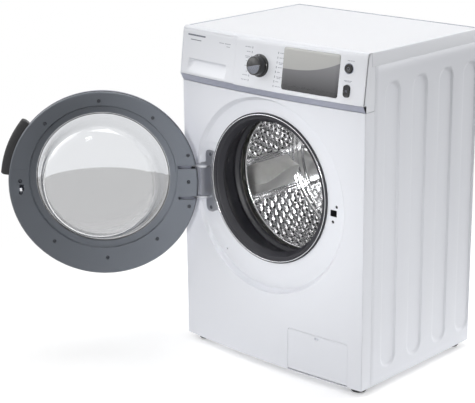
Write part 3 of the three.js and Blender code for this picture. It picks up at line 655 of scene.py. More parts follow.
def screw(name, x, depth, z, radius, towards=-1, body="cabinet", swung=False, turn=0.4):
    """A low domed head with a cross slot, facing -Y or +Y."""
    rings = [(0.3, 0.41), (0.6, 0.34), (0.85, 0.2), (1.0, 0.0), (1.0, -0.5)]
    segments = 32
    points = []
    for share, height in rings:
        for a in np.linspace(0, 2 * math.pi, segments, endpoint=False):
            u, v = radius * share * math.cos(a), radius * share * math.sin(a)
            along = abs(u * math.cos(turn) + v * math.sin(turn))
            across = abs(v * math.cos(turn) - u * math.sin(turn))
            slotted = min(along, across) < radius * 0.14 and max(along, across) < radius * 0.62
            points.append((x + u, depth + towards * radius * (height - (0.34 if slotted else 0)), z + v))
    return mesh_object(name, points, tube_faces(len(rings), segments), screw_steel, body, None, swung=swung,
                       sharp=40)


def feet():
    """Ribbed rubber pads, their nuts and threaded studs."""
    for node in ("foot_front_left", "foot_front_right", "foot_rear_left", "foot_rear_right"):
        low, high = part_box(node)
        x = (low.x + high.x) / 2 / MM
        depth = ((low.y + high.y) / 2 - FRONT) / MM
        rubber_pad = fillet([(0.01, 0), (17.5, 0), (19.6, 2.2), (20, 4), (20, 8.2), (18.6, 9.8), (12, 11),
                             (0.01, 11)], 1.0, 3)
        points, faces = turned_upright(rubber_pad, 48, x, depth)
        # shallow grips round the pad
        angle = np.arctan2(points[:, 1] - depth, points[:, 0] - x)
        out = np.hypot(points[:, 1] - depth, points[:, 0] - x)
        on_rim = (out > 19) & (points[:, 2] > 3) & (points[:, 2] < 9)
        grip = np.where(on_rim, 0.35 * (np.cos(angle * 24) - 1), 0)
        points[:, 0] += np.cos(angle) * grip
        points[:, 1] += np.sin(angle) * grip
        body = next(b for b, nodes in frame["record"]["behaviour"]["bodies"].items() if node in nodes)
        mesh_object(node + "_pad", points, faces, black_matt, body, "black_plastic", replaces=[node],
                    sharp=40)
        nut = [(x + 8.5 * math.cos(t), depth + 8.5 * math.sin(t)) for t in np.arange(6) * math.pi / 3]
        mesh_object(node + "_nut", *prism(nut, (11, 14.6), upright), zinc, body, "zinc_steel", sharp=30,
                    bevel=0.7)
        thread = [(4.6 + 0.4 * (k % 2), 14 + 0.8 * k) for k in range(39)]
        thread = [(0.01, 14)] + thread + [(0.01, thread[-1][1])]
        mesh_object(node + "_stud", *turned_upright(thread, 24, x, depth), zinc, body, "zinc_steel", sharp=60)


front_panel()
side_panel(-1, "side_sheet_left", "side_panel_left")
side_panel(1, "side_sheet_right", "side_panel_right")
worktop()
rear_side()
feet()


# ---- control fascia -------------------------------------------------------------------------
KNOB = (-14.0, 786.0)
POWER = (250.0, 811.0)
START = (249.5, 759.0)
DISPLAY_X = (58.0, 225.0)
DISPLAY_Z = (739.0, 840.0)


def on_face(u, v, h, x, z):
    """A point u to the right, v up the leaning face and h off it, about x, z on the fascia."""
    slope = 2 * BOW * x / HALF**2
    normal = Vector((slope, -1, LEAN)).normalized()
    along = Vector((1, slope, 0)).normalized()
    upward = normal.cross(along) * -1
    if upward.z < 0:
        upward = -upward
    origin = Vector((x, leaning(z) + bow(x), z))
    return tuple(origin + along * u + upward * v + normal * h)


def turned_on_face(profile, segments, x, z):
    """(radius, height off the face) pairs turned about the face's normal."""
    points = [on_face(r * math.cos(a), r * math.sin(a), h, x, z)
              for a in np.linspace(0, 2 * math.pi, segments, endpoint=False) for r, h in profile]
    return np.array(points), grid_faces(segments, len(profile), wrap_rows=True)


def stacked_on_face(layers, x, z):
    """Closed outlines of (u, v) at heights off the face, joined into one shape."""
    points = [on_face(u, v, h, x, z) for outline, h in layers for u, v in outline]
    return np.array(points), tube_faces(len(layers), len(layers[0][0]))


def mark_on_face(x0, x1, z0, z1, proud=0.02):
    """A thin printed bar that follows the bowed, leaning face."""
    xs = np.linspace(x0, x1, max(2, int((x1 - x0) / 6) + 2))
    top = proud + 0.12
    section = ((z0, -0.3), (z0, top), (z1, top), (z1, -0.3))
    rows = [(x, leaning(z) + bow(x) - h, z) for x in xs for z, h in section]
    return np.array(rows), tube_faces(len(xs), 4)


def face_profile():
    """The fascia's section: the leaning face, the roll at the top and a return behind."""
    outer = [(-9.5, STRIP_TOP), (leaning(840), 840.0), (9.0, 848.4), (15.0, TOP), (21.7, TOP)]
    inner = [(21.7, TOP - 2.2), (14.5, TOP - 2.4), (10.0, 845.0), (leaning(838) + 2.6, 838.0),
             (-6.9, STRIP_TOP)]
    return fillet(outer + inner, [1.2, 7, 5, 2, 0.3, 0.3, 2, 4, 4, 0.3], 5)


def fascia():
    """The leaning control face with its openings, the cap over the drawer, the cheeks and the bottom rail."""
    xs = np.concatenate([np.linspace(DRAWER_SEAM + 0.5, HALF - 3, 66),
                         [HALF - 2, HALF - 1.2, HALF - 0.5, HALF]])
    profile = face_profile()
    rows = []
    for x in xs:
        # the right end rounds off
        tuck = 3 - math.sqrt(max(0, 9 - max(0, x - HALF + 3) ** 2))
        rows += [(x, d + (bow(x) if d < 20 else 0) + (tuck * 0.8 if d < 12 else 0),
                  h - (tuck * 0.35 if h > TOP - 1 else 0)) for d, h in profile]
    obj = raw_object("fascia_face", np.array(rows), tube_faces(len(xs), len(profile)), white_plastic)
    display_hole = prism(rounded((DISPLAY_X[0] + DISPLAY_X[1]) / 2, (DISPLAY_Z[0] + DISPLAY_Z[1]) / 2,
                                 DISPLAY_X[1] - DISPLAY_X[0], DISPLAY_Z[1] - DISPLAY_Z[0], 7), (-40, 12))
    power_hole, knob_hole = (turned_on_face([(0.01, -9), (r, -9), (r, 9), (0.01, 9)], count, *at)
                             for r, count, at in ((11.6, 48, POWER), (6, 32, KNOB)))
    start_hole = stacked_on_face([(rounded(0, 0, 19.2, 30.2, 9.59), h) for h in (-9, 9)], *START)
    carved(obj, display_hole, power_hole, start_hole, knob_hole)
    finish_piece(obj, "cabinet", sharp=38, replaces=["control_fascia"])

    # the strip over the drawer belongs to the fixed fascia's top
    xs = np.linspace(-HALF, DRAWER_SEAM + 0.5, 42)
    cap = fillet([(7.2, 843.4), (9.0, 848.4), (15.0, TOP), (21.7, TOP), (21.7, TOP - 2.2), (14.5, TOP - 2.4),
                  (10.4, 845.0), (9.4, 843.4)],
                 [0.3, 5, 2, 0.3, 0.3, 2, 1, 0.3], 5)
    mesh_object("fascia_cap_over_drawer", *swept(cap, xs, straight_from=20), white_plastic, "cabinet",
                "white_plastic", sharp=38)

    # side cheeks, with the fold at the strip's level
    cheek = [(-9.3, STRIP_TOP), (leaning(840) + 0.2, 840.0), (9.2, 848.2), (15.2, TOP - 0.1),
             (21.7, TOP - 0.1), (21.7, SKIRT_BOTTOM - 0.4), (33.6, SKIRT_BOTTOM - 0.4), (33.6, 712.0),
             (0.0, 712.0)]
    radii = [1.2, 6, 4, 2, 0.4, 0.8, 0.8, 0.8, 1.2]
    for side, name in ((-1, "left"), (1, "right")):
        outline = fillet(cheek, radii, 4)
        shrink = [(d + (0.8 if d < 12 else 0), h - 0.2 if h > 848 else h) for d, h in outline]
        layers = [(outline, HALF - 3), (outline, HALF - 0.8), (shrink, HALF)]
        points = np.array([(side * x, d, h) for o, x in layers for d, h in o])
        mesh_object("fascia_cheek_" + name, points, tube_faces(len(layers), len(outline)), white_plastic,
                    "cabinet", "white_plastic", sharp=38)
    rail = block((-HALF + 3, HALF - 3), (9, 32), (712.6, 716.4))
    mesh_object("fascia_bottom_rail", *rail, white_plastic, "cabinet", "white_plastic", bevel=0.8)


def trim_strip():
    xs = np.concatenate([np.linspace(DRAWER_SEAM + 0.5, HALF - 1.5, 60), [HALF - 0.6, HALF]])
    profile = fillet([(-9.3, 728.6), (-0.3, 712.0), (3, 712.0), (3, 728.6)], [1.4, 1.4, 0.4, 0.4], 4)
    mesh_object("trim_strip", *swept(profile, xs), silver, "cabinet", "silver_plastic", sharp=38,
                replaces=["fascia_trim_strip"])


def drawer_face():
    """The drawer's front, with a finger recess that is deep at the top and runs out at the bottom."""
    x0, x1 = -HALF + 3.3, DRAWER_SEAM
    left, right_end, low, high, deepest = -268.0, -128.0, 737.0, 772.0, 12.5
    xs = np.unique(np.concatenate([np.linspace(x0, x1, 90), left + np.linspace(0, 26, 22),
                                   right_end - np.linspace(0, 14, 12)]))
    zs = np.unique(np.concatenate([np.linspace(730.2, 842.6, 46), high + np.linspace(-4, 0.8, 12),
                                   low + np.linspace(0, 14, 8)]))
    x, z = np.meshgrid(xs, zs, indexing="ij")
    inside_x = smoothstep(left, left + 16, x + 0.25 * (high - z)) * smoothstep(right_end, right_end - 7, x)
    ramp = np.clip((z - low) / (high - low), 0, 1)
    # the floor of the recess swings forward towards the left in one broad curve
    sweep = 1 - 0.35 * smoothstep(left + 10, left + 75, x)
    inside_z = smoothstep(high + 0.4, high - 2.0, z) * ramp ** (0.75 + 0.5 * sweep)
    sunk = deepest * inside_x * inside_z
    border = np.minimum.reduce([x - x0, x1 - x, z - 730.2, 842.6 - z])
    fall = 0.9 * (1 - smoothstep(0, 1.0, border))
    front = np.stack([x, leaning(z) + bow(x) + sunk + fall, z], -1)
    behind = front.copy()
    behind[..., 1] = np.maximum(leaning(z) + bow(x) + 2.4, front[..., 1] + 1.8)
    mesh_object("drawer_face", *closed_sheet(front, behind), white_plastic, "drawer", "white_plastic",
                sharp=42, replaces=["drawer_front"])
    profile = fillet([(-9.5, 729.4), (-0.3, 712.2), (3, 712.2), (3, 729.4)], [1.4, 1.4, 0.4, 0.4], 4)
    xs = np.concatenate([[x0, x0 + 0.8], np.linspace(x0 + 1.6, x1 - 0.3, 40), [x1]])
    mesh_object("drawer_trim_strip", *swept(profile, xs), silver, "drawer", "silver_plastic", sharp=38)


def display():
    cx, cz = sum(DISPLAY_X) / 2, sum(DISPLAY_Z) / 2
    width, height = DISPLAY_X[1] - DISPLAY_X[0] - 0.7, DISPLAY_Z[1] - DISPLAY_Z[0] - 0.7
    # a rounded rectangle with a soft edge
    layers = [(rounded(0, 0, width - 2 * inset, height - 2 * inset, 7 - inset), h)
              for inset, h in ((0.0, -2.2), (0.0, -0.2), (0.25, 0.25), (0.8, 0.5))]
    # rings shrink towards the middle so that the bow stays smooth
    for share in (0.9, 0.75, 0.6, 0.45, 0.3, 0.15):
        layers.append(([(u * share, v * share) for u, v in layers[3][0]], 0.55))
    n, last = len(layers[0][0]), len(layers) - 1
    points = [(cx + u, leaning(cz + v) + bow(cx + u) - h, cz + v)
              for outline, h in [*layers, ([(0, 0)], 0.55)] for u, v in outline]
    faces = grid_faces(len(layers), n, wrap_columns=True) + [tuple(range(n))]
    faces += [(last * n + i, last * n + (i + 1) % n, len(points) - 1) for i in range(n)]
    mesh_object("display_pane", points, faces, display_glass, "cabinet", "display_glass", sharp=40,
                replaces=["display_window"])
    # a row of plain touch marks low on the pane
    marks = []
    for k in range(11):
        x = DISPLAY_X[0] + 9 + k * 13.6
        marks.append(mark_on_face(x, x + (7.5 if k % 3 else 4.5), 748.6, 749.8, proud=0.55))
    for k in range(5):
        x = DISPLAY_X[0] + 12 + k * 28
        marks.append(mark_on_face(x, x + 2.0, 752.2, 754.2, proud=0.55))
    mesh_object("display_touch_marks", *merged(*marks), touch_mark, "cabinet", None, sharp=40)


def knob():
    skirt = fillet([(0.01, -1.5), (26.8, -1.5), (28, 0.6), (28, 4.6), (26.4, 6.4), (24.6, 6.8), (0.01, 6.8)],
                   [0, 0.6, 1, 1.2, 1.2, 0.6, 0], 4)
    mesh_object("knob_skirt", *turned_on_face(skirt, 96, *KNOB), black_gloss, "knob", "black_plastic",
                replaces=["program_knob"])
    barrel = fillet([(0.01, 5.5), (24.2, 5.5), (24.2, 7.5), (23.0, 22.0), (22.3, 24.2), (20.6, 25.0),
                     (19.9, 24.4), (0.01, 24.2)],
                    [0, 0, 0.8, 2.5, 1.4, 0.9, 0.6, 0], 4)
    mesh_object("knob_barrel", *turned_on_face(barrel, 120, *KNOB), knob_gloss, "knob", "black_plastic")
    # the cap: a dark half and a lighter half that meet in a slanting line; the lighter half is a painted
    # reflection
    radius, cut_angle = 19.6, math.radians(14)
    for half_of, paint, name in ((0, knob_cap_dark, "knob_cap_upper"), (1, knob_cap_painted_reflection, "knob_cap_lower")):
        arc = np.linspace(0, math.pi, 41) + half_of * math.pi + cut_angle
        outline = [(radius * math.cos(a), radius * math.sin(a)) for a in arc]
        inner = [(u * 0.97, v * 0.97) for u, v in outline]
        layers = [(outline, 23.6), (outline, 24.5), (inner, 24.9)]
        mesh_object(name, *stacked_on_face(layers, *KNOB), paint, "knob", "black_plastic", sharp=40)
    pointer = rounded(0, 25.3, 1.6, 3.6, 0.7)
    mesh_object("knob_pointer", *stacked_on_face([(pointer, 6.5), (pointer, 7.1)], *KNOB), white_plastic,
                "knob", "black_plastic", sharp=40)


def dial_marks():
    ticks, labels = [], []
    for side, count, x_top, x_low in ((-1, 8, -42.0, -49.0), (1, 8, 42.0, 33.0)):
        for k in range(count):
            z = 826 - k * 11.4 - (3 if side > 0 else 0)
            x = x_top + (x_low - x_top) * k / (count - 1)
            ticks.append(mark_on_face(x - 0.8, x + 0.8, z - 2.6, z + 2.6))
            length = (20, 13, 16, 12, 14, 8, 17, 19)[k] if side < 0 else (12, 19, 17, 13, 8, 17, 9, 18)[k]
            start = x - 5 - length if side < 0 else x + 5
            words = [(0, 0.42), (0.5, 0.78), (0.85, 1.0)] if k % 2 else [(0, 0.3), (0.36, 1.0)]
            for a, b in words:
                labels.append(mark_on_face(start + a * length, start + b * length, z - 0.9, z + 0.9))
            if k % 3 == 2:
                labels.append(mark_on_face(start + 0.1 * length, start + 0.7 * length, z - 4.1, z - 2.5))
    for x, z, w in ((254, 829, 19), (250, 783, 22)):
        for a, b in ((-0.5, -0.12), (-0.05, 0.2), (0.26, 0.5)):
            labels.append(mark_on_face(x + a * w, x + b * w, z - 0.8, z + 0.8))
    labels.append(mark_on_face(242, 258, 780.0, 781.3))
    mesh_object("dial_ticks", *merged(*ticks), mark_grey, "cabinet", None, sharp=40)
    mesh_object("dial_label_bars", *merged(*labels), mark_pale, "cabinet", None, sharp=40)
    # plain bars on the drawer front in place of any mark
    bars = [mark_on_face(-276, -210, 828.6, 832.4), mark_on_face(-265, -225, 818.2, 820.0)]
    mesh_object("drawer_plain_bars", *merged(*bars), mark_grey, "drawer", None, sharp=40)
    bars = [mark_on_face(-158, -141, 822.4, 824.0), mark_on_face(-138, -118, 822.2, 824.0),
            mark_on_face(-132, -120, 815.6, 817.2)]
    mesh_object("drawer_small_bars", *merged(*bars), mark_pale, "drawer", None, sharp=40)


def buttons():
    crown = fillet([(0.01, -7), (10.6, -7), (11, -6), (11, 2.2), (9.6, 3.9), (7.5, 3.7), (0.01, 2.9)],
                   [0, 0.5, 0.5, 1.4, 1.0, 2, 0], 5)
    mesh_object("power_key_cap", *turned_on_face(crown, 72, *POWER), black_gloss, "power_key",
                "black_plastic", replaces=["power_button"])
    bezel = fillet([(11.5, -2), (13.0, -2), (12.9, 0.6), (11.6, 0.9)], 0.4, 3)
    mesh_object("power_key_bezel", *turned_on_face(bezel, 72, *POWER), silver, "cabinet", "silver_plastic")
    layers = []
    for grow, h in ((0, -7), (0, 2.0), (-0.8, 3.2), (-2.2, 3.8), (-5, 3.5), (-10, 3.2)):
        layers.append((rounded(0, 0, 18 + grow, 29 + grow, (18 + grow) / 2 - 0.01, 10), h))
    mesh_object("start_key_cap", *stacked_on_face(layers, *START), black_gloss, "start_key", "black_plastic",
                replaces=["start_button"])
    # raised plain icons: a ring on one key, two short bars on the other
    icon = fillet([(3.0, 2.4), (3.8, 2.4), (3.8, 3.6), (3.0, 3.6)], 0.2, 2)
    mesh_object("power_key_icon", *turned_on_face(icon, 40, *POWER), mark_grey, "power_key", None)
    bars = [stacked_on_face([(rounded(u, 0, 1.2, 6, 0.5), h) for h in (2.6, 3.5)],
                            *START) for u in (-1.8, 1.8)]
    mesh_object("start_key_icon", *merged(*bars), mark_grey, "start_key", None)


# The pane is dark glass with a painted reflection: lighter towards its top above a slack curve.
display_glass = Paint("display_dark_glass_painted_reflection", (0.055, 0.058, 0.07), 0.10, drift=0.02, grain=500, relief=0.0,
                      rough_spread=0.02, coat_weight=0.6)
touch_mark = Paint("touch_mark_print", (0.004, 0.004, 0.005), 0.4, drift=0.1)
knob_gloss = Paint("knob_gloss_plastic", (0.012, 0.012, 0.014), 0.12, drift=0.2, grain=700, relief=0.03,
                   rough_spread=0.03)
knob_cap_dark = Paint("knob_cap_black", (0.012, 0.012, 0.013), 0.18, drift=0.2, grain=700, relief=0.03,
                      rough_spread=0.04)
# Painted reflection: the cap's lighter half is painted grey and partly metallic for the light it seems to
# reflect.
knob_cap_painted_reflection = Paint("knob_cap_painted_reflection_grey", (0.20, 0.21, 0.245), 0.3, metallic=0.4, drift=0.08, grain=900,
                       relief=0.05)


def paint_display_reflection():
    """Paints a reflection on the pane: lighter at the top, darkening downwards, with a soft slack line
    across.
    """
    p = display_glass
    x, z = p.axis("X"), p.axis("Z")
    across = p.remap(x, 0, 1, DISPLAY_X[0] * MM, DISPLAY_X[1] * MM)
    line = p.maths("MULTIPLY_ADD", p.maths("POWER", across, 2.6), 0.030, 0.7895)
    above = p.remap(p.maths("SUBTRACT", z, line), 0, 1, -0.0008, 0.0008)
    upper = p.remap(z, 0, 1, 0.79, 0.84)
    lower = p.remap(z, 0, 1, 0.745, 0.81)
    # the darkening downwards and the lighter grey above the slack line are a painted reflection
    low_colour = p.mix(lower, [0.004, 0.004, 0.008, 1], [0.20, 0.20, 0.215, 1])
    painted_reflection_colour = p.mix(upper, [0.40, 0.40, 0.39, 1], [0.49, 0.49, 0.475, 1])
    p.colour = p.mix(above, low_colour, painted_reflection_colour)
    p.link(p.colour, p.shader.inputs["Base Color"])


paint_display_reflection()
fascia()
trim_strip()
drawer_face()
display()
knob()
dial_marks()
buttons()


# ---- service flap ---------------------------------------------------------------------------
FLAP_X, FLAP_Z = (72.2, 255.8), (21.5, 129.6)


def service_flap():
    """A plate with two round top corners and a finger notch, bent to the front's bow."""
    x0, x1 = FLAP_X
    z0, z1 = FLAP_Z
    corner = 8.0
    notch_x, notch_z = (157.0, 169.5), (118.6, 124.0)
    near = lambda *ends: np.concatenate([np.linspace(end - 0.6, end + 0.6, 4) for end in ends])
    xs = np.unique(np.concatenate([[x0, x0 + 0.35, x0 + 0.9, x1 - 0.9, x1 - 0.35, x1],
                                   x0 + np.linspace(0, corner, 10), x1 - np.linspace(0, corner, 10),
                                   np.linspace(x0, x1, 40), near(*notch_x)]))
    heights = np.unique(np.concatenate([[0, 0.0035, 0.008, 0.992, 0.9965, 1], np.linspace(0, 1, 16),
                                        (near(*notch_z) - z0) / (z1 - z0)]))
    x, t = np.meshgrid(xs, heights, indexing="ij")
    from_side = np.minimum(x - x0, x1 - x)
    rounding = corner - np.sqrt(np.maximum(0, corner**2 - (corner - from_side) ** 2))
    drop = np.where(from_side < corner, rounding, 0)
    z = z0 + (z1 - drop - z0) * t
    border = np.minimum.reduce([from_side, z - z0, z1 - drop - z])
    fall = 0.7 * (1 - smoothstep(0, 0.9, border))
    pressed = 4.2
    for value, (low, high) in ((x, notch_x), (z, notch_z)):
        pressed = pressed * smoothstep(low - 0.6, low + 0.6, value)
        pressed = pressed * smoothstep(high + 0.6, high - 0.6, value)
    face = np.stack([x, bow(x) + fall + pressed, z], -1)
    behind = face.copy()
    behind[..., 1] += 1.9
    mesh_object("service_flap", *closed_sheet(face, behind), enamel, "flap", "white_plastic",
                replaces=["filter_flap"], sharp=44)
    ribs = [prism(fillet([(cx - 1, z0 + 2), (cx + 1, z0 + 2), (cx + 1, z0 + 12), (cx - 1, z0 + 12)], 0.5),
                  (bow(cx) + 2.0, bow(cx) + 6.0)) for cx in (x0 + 16, (x0 + x1) / 2, x1 - 16)]
    mesh_object("service_flap_ribs", *merged(*ribs), white_plastic, "flap", "white_plastic")


# ---- port: seal, clamp wire and hinge bracket -----------------------------------------------
def door_seal():
    front = [(191.6, 2.6), (191.7, 0.2), (191.0, -1.2), (189.4, -1.9), (188.2, -1.8), (187.0, -1.5),
             (185.8, -1.8), (184.2, -2.0), (182.4, -0.8), (180.8, 1.0), (176.2, 1.2), (173.2, 5), (169.2, 11),
             (166.4, 15.4), (165.9, 17.8), (167.0, 20.6), (171.6, 24.2), (176.6, 28.6), (180.6, 36),
             (182.3, 46), (182.5, 60), (182.6, 69), (184.2, 73.5), (184.8, 76), (183.4, 78.5), (179.6, 81.4),
             (176.6, 84.2), (176.0, 87), (177.2, 89.8), (180.6, 92.6), (181.6, 97)]
    rear = [(186.4, 97), (186.9, 70), (187.5, 44), (186.6, 34), (185.2, 26), (185.0, 12), (185.2, 3.0)]
    profile = [*spline(front, 3), *rear]
    mesh_object("door_seal", *turned(profile, 192), rubber, "cabinet", "rubber", replaces=["door_gasket"],
                sharp=60)
    # a small lug at the bottom of the fold
    lug = prism(rounded(AXIS_X, AXIS_Z - 176.5, 16, 4.5, 2), (30, 44))
    mesh_object("door_seal_lug", *lug, rubber, "cabinet", "rubber", sharp=60)


def ring_of(radius, depth, thickness, squash=1.0, middle=None):
    circle = [(radius + thickness * math.cos(a), depth + squash * thickness * math.sin(a))
              for a in np.linspace(0, 2 * math.pi, 12, endpoint=False)]
    return turned(circle, 192, z=middle)


def clamp_wire():
    mesh_object("clamp_wire", *ring_of(187.0, -2.2, 0.9), steel_wire, "cabinet", "stainless",
                replaces=["gasket_clamp_ring"], sharp=80)


def hinge_bracket():
    reach = 82.0
    inner = [(AXIS_X - math.sqrt(196.5**2 - (DISC_Z - AXIS_Z + dz) ** 2), DISC_Z + dz)
             for dz in np.linspace(-74, 74, 19)]
    upper = [(-192.5, reach - 4), (-196, reach), (-214, reach), (-221, reach - 9), (-221, 48), (-240, 44)]
    lower = [(x, -dz) for x, dz in reversed(upper)]
    outline = fillet([*inner, *[(x, DISC_Z + dz) for x, dz in upper + lower]],
                     [0.5] * len(inner) + [3, 4, 6, 8, 3, 4, 4, 3, 8, 6, 4, 3], 4)
    plate = raw_object("hinge_plate", *prism(outline, (0.3, 2.6)), zinc)
    finish_piece(bevelled(plate, 0.5), "cabinet", replaces=["hinge_bracket"], sharp=40)
    arm = fillet([(-203, 1), (-204, -13), (-212, -24), (-226, -29), (-239, -30), (-243.2, -28.2), (-245, -24),
                  (-243.2, -19.8), (-239, -18.5), (-229, -18.5), (-219, -13.5), (-213, -7), (-213, 1)],
                 [0.5, 8, 8, 8, 4, 2, 2, 2, 4, 8, 8, 6, 0.5], 5)
    for i, side in enumerate((1, -1)):
        middle = DISC_Z + side * ARM_RISE
        mesh_object("hinge_arm_%d" % (i + 1), *prism(arm, (middle - 2.9, middle + 2.9), upright), zinc,
                    "cabinet", "zinc_steel", sharp=30, bevel=0.9)
        screw("hinge_screw_%d" % (i + 1), -204, 0.3, DISC_Z + side * 71, 5.0, turn=0.5 + i)


# ---- door -----------------------------------------------------------------------------------
def on_door(degrees, radius, middle):
    """The (x, height) of a point on the closed door."""
    a = math.radians(degrees)
    return AXIS_X + radius * math.cos(a), middle + radius * math.sin(a)


RING_SCREWS = [on_door(a, 208, 466.5) for a in (89, 47, 129, -91, -50.5, -130)]
RING_SCREWS += [(-224, z) for z in (529, 459, 393)]
LATCH_SCREWS = [(206, 469), (206, 438)]


def bore(x, z):
    return turned([(0.01, -5.4), (5.0, -5.4), (5.2, -1.0), (0.01, -1.0)], 28, x, z)


def door_rings():
    slots = [block((-262, -197), (-30.5, 5), (DISC_Z + rise - 4.4, DISC_Z + rise + 4.4))
             for rise in (ARM_RISE, -ARM_RISE)]
    x, z = LATCH
    latch_hole = prism(fillet([(x - 5.5, z - 9), (x + 5.5, z - 9), (x + 5.5, z + 8), (x - 5.5, z + 8)], 1.5),
                       (-20, 5))

    d, a = DISC_Z, AXIS_Z
    outer = centred([(242.4, -14.3, d), (242.4, -26, d), (232, -37.6, d), (208, -42.5, d), (190, -43, a),
                     (177, -39, a), (177, -36.4, a), (190, -40, a), (228, -35, d), (238.6, -25, d),
                     (238.6, -14.3, d)],
                    [0.8, 7, 9, 6, 5, 1.4, 1, 4, 6, 6, 0.8])
    shell = raw_object("door_outer_shell", *turned(outer, 192), silver)
    carved(shell, *slots)
    finish_piece(shell, "door", swung=True, replaces=["door_outer_ring"], sharp=45)
    inner = centred([(242, -6, d), (239.6, -3, d), (189.6, -3, a), (186.6, -7.8, a), (170.7, -8, a),
                     (170.7, -11, a), (188.5, -11, a), (191, -6, a), (237.5, -6, d), (239, -7.5, d),
                     (239, -14, d), (242, -14, d)],
                    [2.2, 2.2, 1.0, 1.6, 0.8, 0.5, 1, 1, 1, 1, 0.4, 0.4])
    liner = raw_object("door_inner_liner", *turned(inner, 240), door_grey)
    carved(liner, *slots, latch_hole)
    carved(liner, *[bore(*at) for at in RING_SCREWS + LATCH_SCREWS])
    finish_piece(liner, "door", swung=True, replaces=["door_inner_ring"], sharp=42)
    for i, at in enumerate(RING_SCREWS + LATCH_SCREWS):
        screw("door_screw_%d" % (i + 1), at[0], -4.9, at[1], 4.3, towards=1, body="door", swung=True,
              turn=0.4 + i)

    # snap clips on the sunk band, the latch pad and the block between the hinge slots
    for i, degrees in enumerate((89, 48, 130, -130)):
        x, z = on_door(degrees, 183.6, AXIS_Z)
        t = math.radians(degrees)
        shape = [(x - u * math.sin(t) + v * math.cos(t), z + u * math.cos(t) + v * math.sin(t))
                 for u, v in rounded(0, 0, 16, 4.6, 1.2)]
        mesh_object("door_clip_%d" % (i + 1), *prism(shape, (-8.6, -6.2)), door_grey, "door", "grey_plastic",
                    swung=True, bevel=0.5)
    pad = raw_object("latch_pad", *prism(ring_pad(43, 7), (-3.6, -2.3)), door_grey)
    carved(pad, latch_hole)
    carved(pad, *[bore(*at) for at in LATCH_SCREWS])
    finish_piece(bevelled(pad, 0.35, 2), "door", swung=True, sharp=40)
    edge = ARM_RISE - 4.6
    outline = [(AXIS_X - math.sqrt(238.5**2 - dz**2), DISC_Z + dz) for dz in np.linspace(-edge, edge, 11)]
    outline += [(AXIS_X - 194, DISC_Z + edge), (AXIS_X - 194, DISC_Z - edge)]
    hinge_block = raw_object("hinge_block", *prism(outline, (-4.2, -2.2)), door_grey)
    carved(hinge_block, bore(*RING_SCREWS[7]))
    finish_piece(bevelled(hinge_block, 0.4, 2), "door", swung=True, sharp=40)

    # a black ring at the rim is painted shade standing in for the shadowed gap there, and a dark seam sits at
    # the glass
    rim_shadow_ring = raw_object("door_rim_painted_shadow", *ring_of(242.1, -10.0, 0.9, squash=3.2, middle=DISC_Z), black_matt)
    carved(rim_shadow_ring, *slots)
    finish_piece(rim_shadow_ring, "door", swung=True, sharp=70)
    mesh_object("door_glass_seam", *ring_of(168.6, -8.6, 1.1), black_matt, "door", "black_plastic",
                swung=True, sharp=70)

    # knuckle about the hinge pin
    px, py = PIN.x / MM, (PIN.y - FRONT) / MM
    arc = np.linspace(0, 2 * math.pi, 28, endpoint=False)
    knuckle = [(px + 7.2 * math.cos(t), py + 7.2 * math.sin(t)) for t in arc]
    web = fillet([(px - 4, -27), (px + 6, -28), (px + 9, -9), (px - 5, -9)], 2)
    for name, outline, half, edge in (("hinge_knuckle", knuckle, 36, 1.2),
                                      ("hinge_knuckle_web", web, 35, 1.0)):
        mesh_object(name, *prism(outline, (DISC_Z - half, DISC_Z + half), upright), black_matt,
                    "door", "black_plastic", swung=True, sharp=35, bevel=edge)


def ring_pad(half, corner):
    """The latch pad's outline, between the liner's step and its rim."""
    inner = [(AXIS_X + math.sqrt(190.8**2 - (DISC_Z - AXIS_Z + dz) ** 2), DISC_Z + dz)
             for dz in np.linspace(half, -half, 13)]
    reach = AXIS_X + math.sqrt(238.2**2 - half**2)
    bulge = [(AXIS_X + math.sqrt(238.2**2 - dz**2), DISC_Z + dz)
             for dz in np.linspace(-half + 4, half - 4, 9)]
    return fillet([*inner, (reach, DISC_Z - half), *bulge, (reach, DISC_Z + half)],
                  [0.4] * len(inner) + [corner] + [0.4] * len(bulge) + [corner], 4)


def door_glass():
    bowl = [(0.01, 72), (60, 71.2), (100, 69.4), (122, 67.2), (133.5, 63.6), (141, 57), (145.5, 47),
            (150, 35), (157, 10), (161.5, -2), (164.5, -8.4), (168, -11.2), (184, -11.4)]
    inside = [(184, -14.4), (167, -14.4), (162.5, -13.2), (158, -5), (152.5, 10), (146, 33), (141.5, 45),
              (137, 53.6), (130, 59.4), (119, 63.2), (98, 65.6), (60, 67.3), (0.01, 68)]
    profile = [*spline(bowl, 5), *spline(inside, 5)]
    points, faces = turned(profile, 180)
    # the bowl leans towards the latch side as it deepens
    points[:, 0] += 7 * np.clip((points[:, 1] + 8) / 68, 0, 1)
    mesh_object("glass_bowl", points, faces, glass, "door", "clear_glass", swung=True,
                replaces=["door_glass_bowl"], sharp=60)
    pane = [*spline([(0.01, -41.2), (60, -40.9), (120, -39.6), (176.8, -36.6)], 6), (177, -35.9),
            (176.8, -34.2), *spline([(176.0, -33.6), (120, -36.8), (60, -38.1), (0.01, -38.4)], 6)]
    mesh_object("outer_window", *turned(pane, 144), window, "door", "clear_glass", swung=True,
                replaces=["door_outer_window"], sharp=60)


